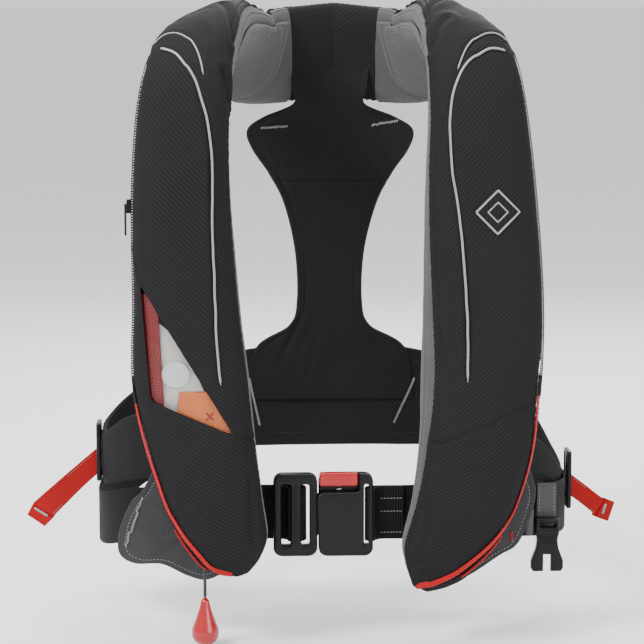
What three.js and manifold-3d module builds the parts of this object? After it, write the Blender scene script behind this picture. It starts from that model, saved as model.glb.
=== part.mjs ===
// Inflatable life jacket: two zipped front lobes joined by a collar, a back yoke and band,
// a waist belt with a push-button buckle, and the inflation gear that lies inside the lobes.
// Millimetres. +X is the right-hand side seen from the front, +Y runs from chest to back,
// +Z is up. The origin lies on the neck axis, level with the bottom of the neck opening.
import * as THREE from 'three';
import { mergeVertices } from 'three/addons/utils/BufferGeometryUtils.js';
import Module from 'manifold-3d';

const wasm = await Module();
wasm.setup();

// ---------------------------------------------------------------- driving dimensions
const GAP = 0.35; // clearance between separate pieces that touch
const COVER_T = 2.4; // cover fabric with its lining
const FULLNESS = 2.6; // superellipse power of a lobe's cross-section
const ZIP_FRONT = 12; // section angle, degrees, where the front cover meets the zip
const ZIP_REAR = 350; // section angle, degrees, where the rear panel meets the zip
const TAPE_T = 1.5;
const CHAIN_W = 5;
const CHAIN_T = 1.6;
const PAD_T = 6;
const PIPING_R = 1.3;
const BLADDER_ROOM = 2.2;
const BLADDER_FRONT = 0.28; // bladder's front face behind the lobe's middle, share of thickness

const WEB_W = 50; // waist belt
const WEB_T = 2.2;
const SLOT_ROOM = 3; // room in a buckle's slot at each edge of the belt
const SLOT_H = WEB_W + 2 * SLOT_ROOM;
const BELT_FRONT_Y = -93;
const BELT_FRONT_Z = -360;
const BAND_T = 4;
const YOKE_T = 5;

const BUCKLE_RIM = 10.5; // plastic above and below the belt's slots
const BUCKLE_H = SLOT_H + 2 * BUCKLE_RIM;
const BUCKLE_T = 13;
const BUCKLE_Y = -104;
const LADDER_X = -63; // outer end of the ladder half
const LADDER_W = 41;
const BUCKLE_SPLIT_X = LADDER_X + LADDER_W; // where the two halves meet
const SOCKET_W = 50.5;
const BLADE_T = 4;
const BLADE_L = 14;
const BUTTON_L = 37;
const BUTTON_H = 13;
const BUTTON_T = 9;
const BUTTON_TRAVEL = 4;
const BLADE_WALL = 1.5; // plastic between the blade and the button's well
const BLADE_W = BUCKLE_H - 2 * (BUTTON_H + BUTTON_TRAVEL + BLADE_WALL);
const SOCKET_TRAVEL = 16;

const CYLINDER_R = 12.7;
const CYLINDER_L = 118;
const CYLINDER_NECK_R = 6;
const GEAR_X = -146; // inflation gear's axis in the left lobe
const GEAR_REAR_Y = -124.8; // rear of the inflator, clear of the bladder behind it
const INFLATOR = { w: 36, d: 22, h: 44, top: -200 };
const INFLATOR_Y = GEAR_REAR_Y - INFLATOR.d / 2;
const GEAR_Y = INFLATOR_Y - 2.5; // the cylinder stands a little forward of the inflator's middle
const CAP_R = 13;
const LEVER_ARM = 22;
const CORD_R = 1.5;
const TOGGLE_R = 12.5;
const TOGGLE_L = 44;

const TUBE_R = 7;
const TUBE = { x: 112, y: -138, low: -175, high: -70 };
const WHISTLE = { w: 17, h: 46, d: 9, y: -139, z: -120 };
const WHISTLE_X = TUBE.x + TUBE_R + 2 + WHISTLE.w / 2; // it lies just beside the tube
const TAB_T = 2;
const STRAP_W = 18;
const STRAP_L = 31;

// Stations of each lobe, from its lower tip, over the shoulder, to the back of the neck:
// centre x, y, z, half width, half thickness, direction of the outer edge x, y, z, and the
// section angle where the front cover ends at the inner edge.
const LEFT_LOBE = [
  [-96, -127, -409, 12, 9, -1, 0, 0, 160],
  [-99, -128, -397, 27, 16, -1, 0, 0, 160],
  [-104, -129, -380, 38, 22, -1, 0, 0, 162],
  [-115, -130, -345, 44, 26, -1, 0, 0, 164],
  [-126, -130, -298, 49, 28, -1, 0, 0, 164],
  [-136, -130, -230, 52, 28.5, -1, 0, 0, 162],
  [-139.5, -130, -158, 47.5, 28.5, -1, 0, 0, 162],
  [-143, -130, -69, 44, 28.5, -1, 0, 0, 166],
  [-141, -127, 5, 41, 28, -1, 0, 0, 170],
  [-134, -112, 50, 38, 26, -1, 0, -0.15, 172],
  [-124, -72, 74, 37, 22, -1, 0, -0.35, 172],
  [-114, -22, 80, 38, 19, -1, 0.1, -0.55, 172],
  [-102, 26, 68, 43, 16, -0.7, 0.35, -0.8, 170],
  [-80, 62, 52, 47, 14, -0.35, 0.3, -1, 170],
  [-45, 84, 54, 47, 13, -0.1, 0.2, -1, 170],
  [0, 92, 60, 45, 12.5, 0, 0.15, -1, 170],
];
const RIGHT_LOBE = [
  [72, -126, -424, 11, 9, 1, 0, 0, 160],
  [79, -128, -411, 26, 16, 1, 0, 0, 158],
  [88, -129, -392, 38, 22, 1, 0, 0, 156],
  [107, -130, -348, 46, 26, 1, 0, 0, 152],
  [120, -130, -292, 52, 28, 1, 0, 0, 146],
  [124, -130, -230, 54.5, 28.5, 1, 0, 0, 138],
  [125, -130, -158, 54, 28.5, 1, 0, 0, 146],
  [122, -130, -69, 50, 28.5, 1, 0, 0, 156],
  [119, -127, 5, 44, 28, 1, 0, 0, 162],
  [114, -112, 52, 40, 26, 1, 0, -0.15, 168],
  [108, -72, 76, 37, 22, 1, 0, -0.35, 170],
  [104, -22, 82, 38, 19, 1, 0.1, -0.55, 170],
  [97, 26, 70, 43, 16, 0.7, 0.35, -0.8, 170],
  [78, 62, 53, 47, 14, 0.35, 0.3, -1, 170],
  [44, 84, 54, 47, 13, 0.1, 0.2, -1, 170],
  [0, 92, 60, 45, 12.5, 0, 0.15, -1, 170],
];
const LAST_STATION = LEFT_LOBE.length - 1; // behind the neck, where the two lobes meet
const COLLAR_END = 14; // station where the lobes' covers meet the collar bridge
const PAD_FROM = 9.5; // station on the shoulder where a neck pad starts
const PAD_INNER = 216; // section angles of a pad's two long edges
const PAD_OUTER = 337;
const PAD_LIFT = 2; // clearance that lets a pad's flat facets clear the curved panel
const ZIP_FROM = 2;
const CHAIN_TO = 12;

// ---------------------------------------------------------------- geometry helpers
const vec = (x, y, z) => new THREE.Vector3(x, y, z);
const rad = THREE.MathUtils.degToRad;

// Values of a Catmull-Rom curve through rows of numbers, at row position t.
function between(rows, t) {
  const i = THREE.MathUtils.clamp(Math.floor(t), 0, rows.length - 2);
  const row = (k) => rows[THREE.MathUtils.clamp(k, 0, rows.length - 1)];
  const f = t - i;
  return rows[0].map((_, c) => {
    const [a, b, d, e] = [row(i - 1)[c], row(i)[c], row(i + 1)[c], row(i + 2)[c]];
    const m0 = (d - a) / 2;
    const m1 = (e - b) / 2;
    return ((2 * b - 2 * d + m0 + m1) * f + (3 * d - 3 * b - 2 * m0 - m1)) * f * f + m0 * f + b;
  });
}

function signedVolume(position, index) {
  let six = 0;
  const p = (i) => vec(position[3 * i], position[3 * i + 1], position[3 * i + 2]);
  for (let i = 0; i < index.length; i += 3) {
    six += p(index[i]).dot(p(index[i + 1]).cross(p(index[i + 2])));
  }
  return six / 6;
}

function geometryFrom(position, index) {
  const faces = index.slice();
  if (signedVolume(position, faces) < 0) {
    for (let i = 0; i < faces.length; i += 3) {
      [faces[i], faces[i + 1]] = [faces[i + 1], faces[i]];
    }
  }
  const geometry = new THREE.BufferGeometry();
  geometry.setAttribute('position', new THREE.Float32BufferAttribute(position, 3));
  geometry.setIndex(faces);
  return geometry;
}

// Triangles of a flat closed ring of points, whatever way it faces.
function capTriangles(ring) {
  const normal = vec(0, 0, 0);
  ring.forEach((p, i) => {
    const q = ring[(i + 1) % ring.length];
    normal.add(p.clone().cross(q));
  });
  normal.normalize();
  const side = Math.abs(normal.z) < 0.9 ? vec(0, 0, 1).cross(normal).normalize() : vec(1, 0, 0);
  const up = normal.clone().cross(side).normalize();
  const flat = ring.map((p) => new THREE.Vector2(p.dot(side), p.dot(up)));
  return THREE.ShapeUtils.triangulateShape(flat, []);
}

// A closed solid through rings of points, each ring with the same number of points.
function loft(rings, closed = false) {
  const n = rings[0].length;
  const position = rings.flat().flatMap((p) => [p.x, p.y, p.z]);
  const index = [];
  const spans = closed ? rings.length : rings.length - 1;
  for (let i = 0; i < spans; i += 1) {
    const a = i * n;
    const b = ((i + 1) % rings.length) * n;
    for (let j = 0; j < n; j += 1) {
      const k = (j + 1) % n;
      index.push(a + j, a + k, b + k, a + j, b + k, b + j);
    }
  }
  if (!closed) {
    const tail = (rings.length - 1) * n;
    capTriangles(rings[0]).forEach(([a, b, c]) => index.push(c, b, a));
    capTriangles(rings.at(-1)).forEach(([a, b, c]) => index.push(tail + a, tail + b, tail + c));
  }
  return geometryFrom(position, index);
}

function toSolid(geometry) {
  const bare = geometry.clone();
  bare.deleteAttribute('normal');
  bare.deleteAttribute('uv');
  const merged = mergeVertices(bare, 1e-4);
  const mesh = new wasm.Mesh({
    numProp: 3,
    vertProperties: new Float32Array(merged.attributes.position.array),
    triVerts: new Uint32Array(merged.index.array),
  });
  return new wasm.Manifold(mesh);
}

function fromSolid(solid) {
  const mesh = solid.getMesh();
  const geometry = new THREE.BufferGeometry();
  geometry.setAttribute('position', new THREE.BufferAttribute(mesh.vertProperties, 3));
  geometry.setIndex(new THREE.BufferAttribute(mesh.triVerts, 1));
  return geometry;
}

const cut = (body, ...tools) => fromSolid(
  tools.reduce((left, tool) => left.subtract(toSolid(tool)), toSolid(body)),
);
const join = (body, ...more) => fromSolid(
  more.reduce((left, piece) => left.add(toSolid(piece)), toSolid(body)),
);
const common = (a, b) => fromSolid(toSolid(a).intersect(toSolid(b)));

function box(x0, x1, y0, y1, z0, z1) {
  const geometry = new THREE.BoxGeometry(x1 - x0, y1 - y0, z1 - z0);
  return geometry.translate((x0 + x1) / 2, (y0 + y1) / 2, (z0 + z1) / 2);
}

// A plate with rounded corners: w along X, h along Z, t along Y, centred on x, y, z.
function roundedPlate(w, h, t, corner, x, y, z, steps = 3) {
  const shape = new THREE.Shape();
  const [a, b] = [w / 2, h / 2];
  shape.moveTo(corner - a, -b);
  shape.absarc(a - corner, corner - b, corner, -Math.PI / 2, 0);
  shape.absarc(a - corner, b - corner, corner, 0, Math.PI / 2);
  shape.absarc(corner - a, b - corner, corner, Math.PI / 2, Math.PI);
  shape.absarc(corner - a, corner - b, corner, Math.PI, 1.5 * Math.PI);
  const solid = { depth: t, bevelEnabled: false, curveSegments: steps };
  const plate = new THREE.ExtrudeGeometry(shape, solid);
  return plate.rotateX(Math.PI / 2).translate(x, y + t / 2, z);
}

// A turned piece: profile points are radius and height; the axis is +Z through x, y.
function turned(profile, x, y, z, sides = 16) {
  const points = profile.map(([r, h]) => new THREE.Vector2(r, h));
  const geometry = new THREE.LatheGeometry(points, sides);
  return geometry.rotateX(Math.PI / 2).translate(x, y, z);
}

function tube(points, radius, steps, sides = 8) {
  const section = new THREE.Shape(Array.from({ length: sides }, (_, i) => {
    const a = (2 * Math.PI * i) / sides;
    return new THREE.Vector2(radius * Math.cos(a), radius * Math.sin(a));
  }));
  const curve = new THREE.CatmullRomCurve3(points);
  return new THREE.ExtrudeGeometry(section, { steps, extrudePath: curve, bevelEnabled: false });
}

// A strap: a flat section swept through rows of x, y, z and roll (degrees from upright, about
// the strap's run). Width is upright, thickness is across.
function strap(rows, width, thickness, steps) {
  const rings = [];
  for (let i = 0; i <= steps; i += 1) {
    const t = (i / steps) * (rows.length - 1);
    const [x, y, z, roll = 0] = between(rows, t);
    const ahead = between(rows, Math.min(t + 0.02, rows.length - 1));
    const behind = between(rows, Math.max(t - 0.02, 0));
    const run = vec(ahead[0] - behind[0], ahead[1] - behind[1], ahead[2] - behind[2]).normalize();
    const upright = vec(0, 0, 1).applyAxisAngle(run, rad(roll));
    const across = run.clone().cross(upright).normalize();
    const wide = across.clone().cross(run).normalize();
    const corner = (a, b) => vec(x, y, z).addScaledVector(wide, a).addScaledVector(across, b);
    const [w, h] = [width / 2, thickness / 2];
    rings.push([corner(-w, -h), corner(w, -h), corner(w, h), corner(-w, h)]);
  }
  return loft(rings);
}

// ---------------------------------------------------------------- lobes
// Frame of a lobe at station t: centre, outer-edge direction, face direction and sizes.
function lobeFrame(side, t) {
  const [x, y, z, halfW, halfT, ux, uy, uz, edge] = between(side.stations, t);
  const last = side.stations.length - 1;
  const ahead = between(side.stations, Math.min(t + 0.02, last));
  const behind = between(side.stations, Math.max(t - 0.02, 0));
  const run = vec(ahead[0] - behind[0], ahead[1] - behind[1], ahead[2] - behind[2]).normalize();
  if (t > last - 0.5) run.lerp(vec(-side.hand, 0, 0), (t - last + 0.5) * 2).normalize();
  const out = vec(ux, uy, uz);
  out.addScaledVector(run, -out.dot(run)).normalize();
  const face = run.clone().cross(out).multiplyScalar(-side.hand);
  return { centre: vec(x, y, z), out, face, halfW, halfT, edge };
}

function sectionPoint(frame, degrees, offset) {
  const power = 2 / FULLNESS;
  const [c, s] = [Math.cos(rad(degrees)), Math.sin(rad(degrees))];
  const u = Math.sign(c) * Math.abs(c) ** power * (frame.halfW + offset);
  const v = Math.sign(s) * Math.abs(s) ** power * (frame.halfT + offset);
  return frame.centre.clone().addScaledVector(frame.out, u).addScaledVector(frame.face, v);
}

const LEFT = { name: 'left', hand: -1, stations: LEFT_LOBE };
const RIGHT = { name: 'right', hand: 1, stations: RIGHT_LOBE };

// A curved sheet that follows a lobe's skin between two stations and two section angles.
// from and to are degrees or functions of the frame; inner and outer are offsets from the skin.
function skin(side, t0, t1, from, to, inner, outer, steps, across) {
  const angle = (limit, frame) => (typeof limit === 'function' ? limit(frame) : limit);
  const rings = [];
  for (let i = 0; i <= steps; i += 1) {
    const frame = lobeFrame(side, t0 + ((t1 - t0) * i) / steps);
    const [a, b] = [angle(from, frame), angle(to, frame)];
    const arc = (offset) => Array.from({ length: across + 1 }, (_, j) => (
      sectionPoint(frame, a + ((b - a) * j) / across, offset)));
    rings.push([...arc(outer), ...arc(inner).reverse()]);
  }
  return loft(rings);
}

const COVER_STEPS = 28; // two for each station, as on every sheet that lies on the covers
const innerEdge = (frame) => frame.edge;
const liningEdge = (frame) => frame.edge + 2.6;

const WINDOW = [[-181, -139], [-174, -247], [-96, -279]]; // corners of the window, x and z
const WINDOW_ROUND = 3;

function windowPrism(margin) {
  const centre = new THREE.Vector2();
  WINDOW.forEach(([x, z]) => centre.add(new THREE.Vector2(x, z).divideScalar(WINDOW.length)));
  const shape = new THREE.Shape(WINDOW.map(([x, z]) => {
    const corner = new THREE.Vector2(x, z).sub(centre);
    return corner.setLength(corner.length() - WINDOW_ROUND + margin * 2).add(centre);
  }));
  const prism = new THREE.ExtrudeGeometry(shape, { depth: 60, bevelEnabled: false });
  return prism.rotateX(Math.PI / 2).translate(0, -125, 0);
}

function frontCover(side) {
  const cover = skin(side, 0, COLLAR_END, ZIP_FRONT, innerEdge, -COVER_T, 0, COVER_STEPS, 9);
  return side === LEFT ? cut(cover, windowPrism(0)) : cover;
}

const backPanel = (side) => skin(side, 0, COLLAR_END, liningEdge, ZIP_REAR, -COVER_T, 0, COVER_STEPS, 8);

const zipTape = (side) => skin(
  side, ZIP_FROM, COLLAR_END, ZIP_REAR + 1.5, ZIP_FRONT + 358.5, -COVER_T, TAPE_T - COVER_T,
  2 * (COLLAR_END - ZIP_FROM), 2,
);

function zipChain(side) {
  const rings = [];
  for (let t = ZIP_FROM; t <= CHAIN_TO; t += 0.5) {
    const frame = lobeFrame(side, t);
    const low = frame.halfW + 2 * GAP + TAPE_T - COVER_T;
    const at = (u, v) => frame.centre.clone().addScaledVector(frame.out, u).addScaledVector(frame.face, v);
    const h = CHAIN_W / 2;
    rings.push([at(low, -h), at(low + CHAIN_T, -h), at(low + CHAIN_T, h), at(low, h)]);
  }
  return loft(rings);
}

const windowFilm = () => common(
  skin(LEFT, 3.5, 7.5, ZIP_FRONT, innerEdge, -COVER_T * 0.7, -COVER_T * 0.3, 14, 14),
  windowPrism(-GAP),
);

// Line on a cover's face through pairs of station and section angle.
function piping(side, pairs, steps) {
  const knots = 2 * pairs.length;
  const points = Array.from({ length: knots + 1 }, (_, i) => {
    const [t, degrees] = between(pairs, (i / knots) * (pairs.length - 1));
    return sectionPoint(lobeFrame(side, t), degrees, PIPING_R + GAP);
  });
  return tube(points, PIPING_R, steps, 4);
}

const BADGE = { x: 135, z: -78, half: 21, thickness: 0.9 }; // plain diamond patch

function badge() {
  const { x, z, half, thickness } = BADGE;
  const prism = flatSheet([[0, half], [half, 0], [0, -half], [-half, 0]], 60, -125).translate(x, 0, z);
  return common(skin(RIGHT, 6, 8.4, ZIP_FRONT, innerEdge, GAP, GAP + thickness, 6, 12), prism);
}

// Comfort pad on the neck side of the collar.
const neckPad = (side) => skin(
  side, PAD_FROM, COLLAR_END, PAD_INNER, PAD_OUTER, PAD_LIFT, PAD_LIFT + PAD_T,
  2 * (COLLAR_END - PAD_FROM), 8,
);

// A sheet behind the neck, from the left lobe's end to the right lobe's, between two section
// angles: the collar's outer cover, or its lining.
function collarSheet(low, high) {
  const [across, steps, from] = [10, 2, COLLAR_END + 0.04];
  const ring = (side, t) => {
    const frame = lobeFrame(side, t);
    const arc = (offset) => Array.from({ length: across + 1 }, (_, j) => (
      sectionPoint(frame, low + ((high - low) * j) / across, offset)));
    return [...arc(0), ...arc(-COVER_T).reverse()];
  };
  const half = (side) => Array.from({ length: steps }, (_, i) => (
    ring(side, from + ((LAST_STATION - from) * i) / steps)));
  return loft([...half(LEFT), ring(LEFT, LAST_STATION), ...half(RIGHT).reverse()]);
}

function bladder() {
  const sides = 12;
  const ring = (frame) => {
    const depth = frame.halfT - COVER_T - BLADDER_ROOM;
    const front = frame.halfT * BLADDER_FRONT;
    const [middle, half] = [(depth + front) / 2, (depth - front) / 2];
    return Array.from({ length: sides }, (_, j) => {
      const a = (2 * Math.PI * j) / sides;
      const u = Math.cos(a) * frame.halfW * 0.78;
      return frame.centre.clone().addScaledVector(frame.out, u)
        .addScaledVector(frame.face, Math.sin(a) * half - middle);
    });
  };
  const [from, steps] = [1.5, 27];
  const half = (side) => Array.from({ length: steps }, (_, i) => (
    ring(lobeFrame(side, from + ((LAST_STATION - from) * i) / steps))));
  return loft([...half(LEFT), ring(lobeFrame(LEFT, LAST_STATION)), ...half(RIGHT).reverse()]);
}

// ---------------------------------------------------------------- back yoke and band
// Waist rows: x, y, z of the lower edge, z of the upper edge, round the wearer.
const BAND = [
  [-158, -94.5, -322, -262], [-196, -66, -334, -276], [-219, -25, -346, -296],
  [-219, 30, -346, -292], [-188, 76, -340, -270], [-120, 107, -337, -248], [-60, 116, -337, -238],
  [0, 118, -337, -236],
  [60, 116, -337, -238], [120, 107, -338, -252], [184, 76, -350, -284], [211, 30, -368, -326],
  [211, -25, -362, -334], [190, -66, -338, -304], [160, -94.5, -328, -286],
];
// Yoke rows: z, left edge x, right edge x, y of the middle, how far the edges lie forward.
const YOKE = [
  [72, -32, 20, 70, 6], [50, -32, 22, 71.5, 6], [24, -34, 24, 74, 5], [6, -35, 25, 80, 3],
  [-8, -68, 60, 90, 4], [-20, -83, 77, 94, 6], [-38, -78, 73, 98, 6], [-62, -62, 57, 102, 5],
  [-92, -47, 42, 105, 4], [-140, -36, 30, 108, 3], [-190, -34, 28, 110, 2], [-216, -42, 36, 111, 2],
  [-240, -76, 72, 112, 2], [-290, -84, 80, 112, 2],
];

function backYoke() {
  const across = 6;
  const panelRings = [];
  const steps = 22;
  for (let i = 0; i <= steps; i += 1) {
    const [z, left, right, y, dip] = between(YOKE, (i / steps) * (YOKE.length - 1));
    const row = (inset) => Array.from({ length: across + 1 }, (_, j) => {
      const f = j / across;
      const bow = (2 * f - 1) ** 2;
      return vec(left + (right - left) * f, y - dip * bow + inset, z);
    });
    panelRings.push([...row(0), ...row(YOKE_T).reverse()]);
  }
  const bandRings = [];
  const bandSteps = 34;
  for (let i = 0; i <= bandSteps; i += 1) {
    const t = (i / bandSteps) * (BAND.length - 1);
    const [x, y, low, high] = between(BAND, t);
    const ahead = between(BAND, Math.min(t + 0.02, BAND.length - 1));
    const behind = between(BAND, Math.max(t - 0.02, 0));
    const run = vec(ahead[0] - behind[0], ahead[1] - behind[1], 0).normalize();
    const inward = vec(run.y, -run.x, 0).multiplyScalar(BAND_T / 2);
    const at = (z, s) => vec(x, y, z).addScaledVector(inward, s);
    bandRings.push([at(low, -1), at(high, -1), at(high, 1), at(low, 1)]);
  }
  return join(loft(bandRings), loft(panelRings));
}

// ---------------------------------------------------------------- belt and buckle
const SOCKET_X = BUCKLE_SPLIT_X + SOCKET_W; // outer end of the socket half
const LADDER_BAR = { x0: LADDER_X + 16, x1: LADDER_X + 25, y0: BUCKLE_Y - 0.6, y1: BUCKLE_Y + 4.4 };

function waistBeltLeft() {
  const z = BELT_FRONT_Z;
  const middle = (LADDER_BAR.x0 + LADDER_BAR.x1) / 2;
  return strap([
    [-118, BELT_FRONT_Y + 3, z], [-80, BELT_FRONT_Y + 2.9, z], [middle + 2, BELT_FRONT_Y + 2.8, z],
    [LADDER_BAR.x1 + 4.6, BELT_FRONT_Y - 5, z], [LADDER_BAR.x1 + 1, LADDER_BAR.y0 - 1.7, z],
    [middle, LADDER_BAR.y0 - 1.7, z], [LADDER_BAR.x0 - 1, LADDER_BAR.y0 - 1.7, z],
    [LADDER_BAR.x0 - 4.6, BELT_FRONT_Y - 5, z], [LADDER_X - 4, BELT_FRONT_Y - 0.6, z],
    [-90, BELT_FRONT_Y - 0.5, z], [-150, BELT_FRONT_Y - 0.5, z], [-196, -72.5, z - 6],
    [-223.5, -26, z - 18], [-223.5, 30, z - 14], [-191.5, 80, z + 16], [-122, 111.5, z + 44],
    [-40, 121.6, z + 52],
  ], WEB_W, WEB_T, 60);
}

function waistBeltRight() {
  const z = BELT_FRONT_Z;
  return strap([
    [44, BELT_FRONT_Y - 0.5, z], [90, BELT_FRONT_Y - 0.5, z], [150, BELT_FRONT_Y - 0.5, z],
    [194, -72.5, z - 4], [215.5, -26, z - 8], [215.5, 30, z - 6], [187.5, 80, z + 12],
    [122, 111.5, z + 44], [40, 121.6, z + 52], [-38, 121.9 + WEB_T + GAP, z + 52],
  ], WEB_W, WEB_T, 34);
}

const SOCKET_BAR = { x0: SOCKET_X - 4.2, x1: SOCKET_X, y0: BUCKLE_Y - 2.2, y1: BUCKLE_Y + 2 };

function beltEndRight() {
  const z = BELT_FRONT_Z;
  const [x0, x1, front] = [SOCKET_BAR.x0, SOCKET_BAR.x1, SOCKET_BAR.y0 - 1.7];
  return strap([
    [57, BELT_FRONT_Y - 3.9, z], [x1 + 8, BELT_FRONT_Y - 3.9, z], [x0 + 1, SOCKET_BAR.y1 + 2.8, z],
    [x0 - 2.2, BUCKLE_Y, z], [x0 + 0.6, front - 0.6, z], [x1 + 0.4, front - 0.4, z],
    [x1 + 2.8, BUCKLE_Y, z], [x1 + 9, BELT_FRONT_Y - 6.6, z], [57, BELT_FRONT_Y - 6.6, z],
  ], WEB_W, WEB_T, 32);
}

function buckleTongue() {
  const z = BELT_FRONT_Z;
  const middle = (LADDER_X + BUCKLE_SPLIT_X) / 2;
  const frame = roundedPlate(LADDER_W, BUCKLE_H, BUCKLE_T, 4, middle, BUCKLE_Y, z);
  const { x0, x1, y0, y1 } = LADDER_BAR;
  const slot = (a, b) => box(a, b, -120, -90, z - SLOT_H / 2, z + SLOT_H / 2);
  const front = box(x0 - 0.01, x1 + 0.01, -120, y0, z - SLOT_H / 2, z + SLOT_H / 2);
  const rear = box(x0 - 0.01, x1 + 0.01, y1, -90, z - SLOT_H / 2, z + SLOT_H / 2);
  const blade = box(
    BUCKLE_SPLIT_X - 1, BUCKLE_SPLIT_X + BLADE_L,
    BUCKLE_Y - BLADE_T / 2, BUCKLE_Y + BLADE_T / 2, z - BLADE_W / 2, z + BLADE_W / 2,
  );
  return join(cut(frame, slot(x0 - 9, x0), slot(x1, x1 + 8), front, rear), blade);
}

const SOCKET_GAP = 0.4;
const SPRING_R = 3;

function buckleSocket() {
  const z = BELT_FRONT_Z;
  const x0 = BUCKLE_SPLIT_X + SOCKET_GAP;
  const middle = (x0 + SOCKET_X) / 2;
  const frame = roundedPlate(SOCKET_X - x0, BUCKLE_H, BUCKLE_T, 7, middle, BUCKLE_Y, z, 4);
  const blade = box(
    x0 - 1, BUCKLE_SPLIT_X + BLADE_L + 2, BUCKLE_Y - BLADE_T / 2 - GAP, BUCKLE_Y + BLADE_T / 2 + GAP,
    z - BLADE_W / 2 - GAP, z + BLADE_W / 2 + GAP,
  );
  const top = z + BUCKLE_H / 2;
  const well = box(
    x0 - 1, x0 + BUTTON_L + GAP, BUCKLE_Y - BUTTON_T / 2 - GAP, BUCKLE_Y + BUTTON_T / 2 + GAP,
    top - BUTTON_H - BUTTON_TRAVEL - 0.4, top + 1,
  );
  const loop = box(SOCKET_BAR.x0 - 4.4, SOCKET_BAR.x0, -120, -90, z - SLOT_H / 2, z + SLOT_H / 2);
  const thin = (y0, y1) => (
    box(SOCKET_BAR.x0 - 0.01, SOCKET_X + 1, y0, y1, z - SLOT_H / 2, z + SLOT_H / 2));
  return cut(frame, blade, well, loop, thin(-120, SOCKET_BAR.y0), thin(SOCKET_BAR.y1, -90));
}

function releaseButton() {
  const x0 = BUCKLE_SPLIT_X + SOCKET_GAP + 0.5;
  const top = BELT_FRONT_Z + BUCKLE_H / 2 + 0.6;
  const [front, rear] = [BUCKLE_Y - BUTTON_T / 2, BUCKLE_Y + BUTTON_T / 2];
  const block = box(x0, x0 + BUTTON_L - 0.6, front, rear, top - BUTTON_H, top);
  const pocket = box(
    x0 + BUTTON_L / 2 - SPRING_R - 1, x0 + BUTTON_L / 2 + SPRING_R + 1, BUCKLE_Y - SPRING_R - 0.6,
    BUCKLE_Y + SPRING_R + 0.6, top - BUTTON_H - 1, top - 4,
  );
  return cut(block, pocket);
}

function buckleSpring() {
  const top = BELT_FRONT_Z + BUCKLE_H / 2;
  const low = top - BUTTON_H - BUTTON_TRAVEL - 0.1;
  const high = top + 0.6 - 4 - 0.3;
  const x = BUCKLE_SPLIT_X + SOCKET_GAP + 0.5 + BUTTON_L / 2;
  const turns = 5;
  const points = Array.from({ length: turns * 8 + 1 }, (_, i) => {
    const a = (2 * Math.PI * i) / 8;
    const r = SPRING_R - 0.4;
    const z = low + 0.5 + ((high - low - 1) * i) / (turns * 8);
    return vec(x + r * Math.cos(a), BUCKLE_Y + r * Math.sin(a), z);
  });
  return tube(points, 0.4, turns * 8, 4);
}

const ADJUSTER_AT = { left: [-227.2, -319], right: [222.6, -350] }; // x and z

// A two-bar slide that takes up the belt at the wearer's side.
function sideAdjuster(x, z) {
  const [half, h] = [14, SLOT_H];
  const frame = box(x - 2.2, x + 2.2, -half, half, z - h / 2, z + h / 2);
  const slot = (y0, y1) => box(x - 5, x + 5, y0, y1, z - h / 2 + 4, z + h / 2 - 4);
  return cut(frame, slot(-half + 3.5, -2), slot(2, half - 3.5));
}

// A flat sheet of webbing or cloth, cut to an outline in the XZ plane, with its rear face at y.
function flatSheet(outline, thickness, y) {
  const shape = new THREE.Shape(outline.map((p) => new THREE.Vector2(...p)));
  const sheet = new THREE.ExtrudeGeometry(shape, { depth: thickness, bevelEnabled: false });
  return sheet.rotateX(Math.PI / 2).translate(0, y, 0);
}

// Red pull tabs, from the side adjuster outwards.
const TAB_Y = TAB_T / 2; // rear face; the tabs hang from the adjusters' middle bars
const LEFT_TAB = [[-230.1, -342], [-230.1, -318.2], [-288.5, -368.2], [-296.5, -381.5], [-280.4, -392.5]];
const RIGHT_TAB = [
  [225.6, -367], [225.6, -346.8], [254.4, -369.3], [268, -374.5], [262.5, -392.7], [246.6, -387.2],
  [247, -383.5],
];

// ---------------------------------------------------------------- side panels
const PANEL_T = 2.4;
const PANEL_Y = -96.5;

function sidePanel(outline) {
  const curve = new THREE.SplineCurve(outline.map((p) => new THREE.Vector2(...p)));
  return flatSheet(curve.getPoints(24).map((p) => [p.x, p.y]), PANEL_T, PANEL_Y);
}

const LEFT_PANEL = [
  [-168, -312], [-182, -338], [-193, -350], [-203, -374], [-204, -396], [-190, -406], [-165, -407],
  [-142, -418], [-124, -422], [-104, -412], [-94, -398],
];
const RIGHT_PANEL = [
  [172, -318], [179, -342], [173, -369], [162, -392], [146, -402], [119, -420], [96, -430], [80, -424],
];

// ---------------------------------------------------------------- inflation gear
function inflatorBody() {
  const { w, d, h, top } = INFLATOR;
  const body = roundedPlate(w, h, d, 6, GEAR_X, INFLATOR_Y, top - h / 2);
  const port = turned([[0, 0], [9, 0], [9, 9], [0, 9]], GEAR_X, GEAR_Y, top - 1);
  const r = CYLINDER_NECK_R + GAP;
  const bore = turned([[0, 0], [r, 0], [r, 20], [0, 20]], GEAR_X, GEAR_Y, top - 6);
  return cut(join(body, port), bore);
}

const co2Cylinder = () => {
  const r = CYLINDER_R;
  const foot = 10 + GAP;
  return turned([
    [0, -5], [CYLINDER_NECK_R, -5], [CYLINDER_NECK_R, foot - 1], [r * 0.75, foot + 3], [r, foot + 10],
    [r, CYLINDER_L - 10], [r * 0.8, CYLINDER_L - 2.5], [r * 0.35, CYLINDER_L], [0, CYLINDER_L],
  ], GEAR_X, GEAR_Y, INFLATOR.top - 1 + 0.4);
};

function inflatorCap() {
  const front = INFLATOR_Y - INFLATOR.d / 2 - GAP;
  const cap = turned([[0, 0], [CAP_R, 0], [CAP_R, 4], [CAP_R - 1.5, 5.5], [0, 5.5]], 0, 0, 0, 18);
  return cap.rotateX(Math.PI / 2).translate(GEAR_X - 3, front, INFLATOR.top - INFLATOR.h / 2);
}

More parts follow.
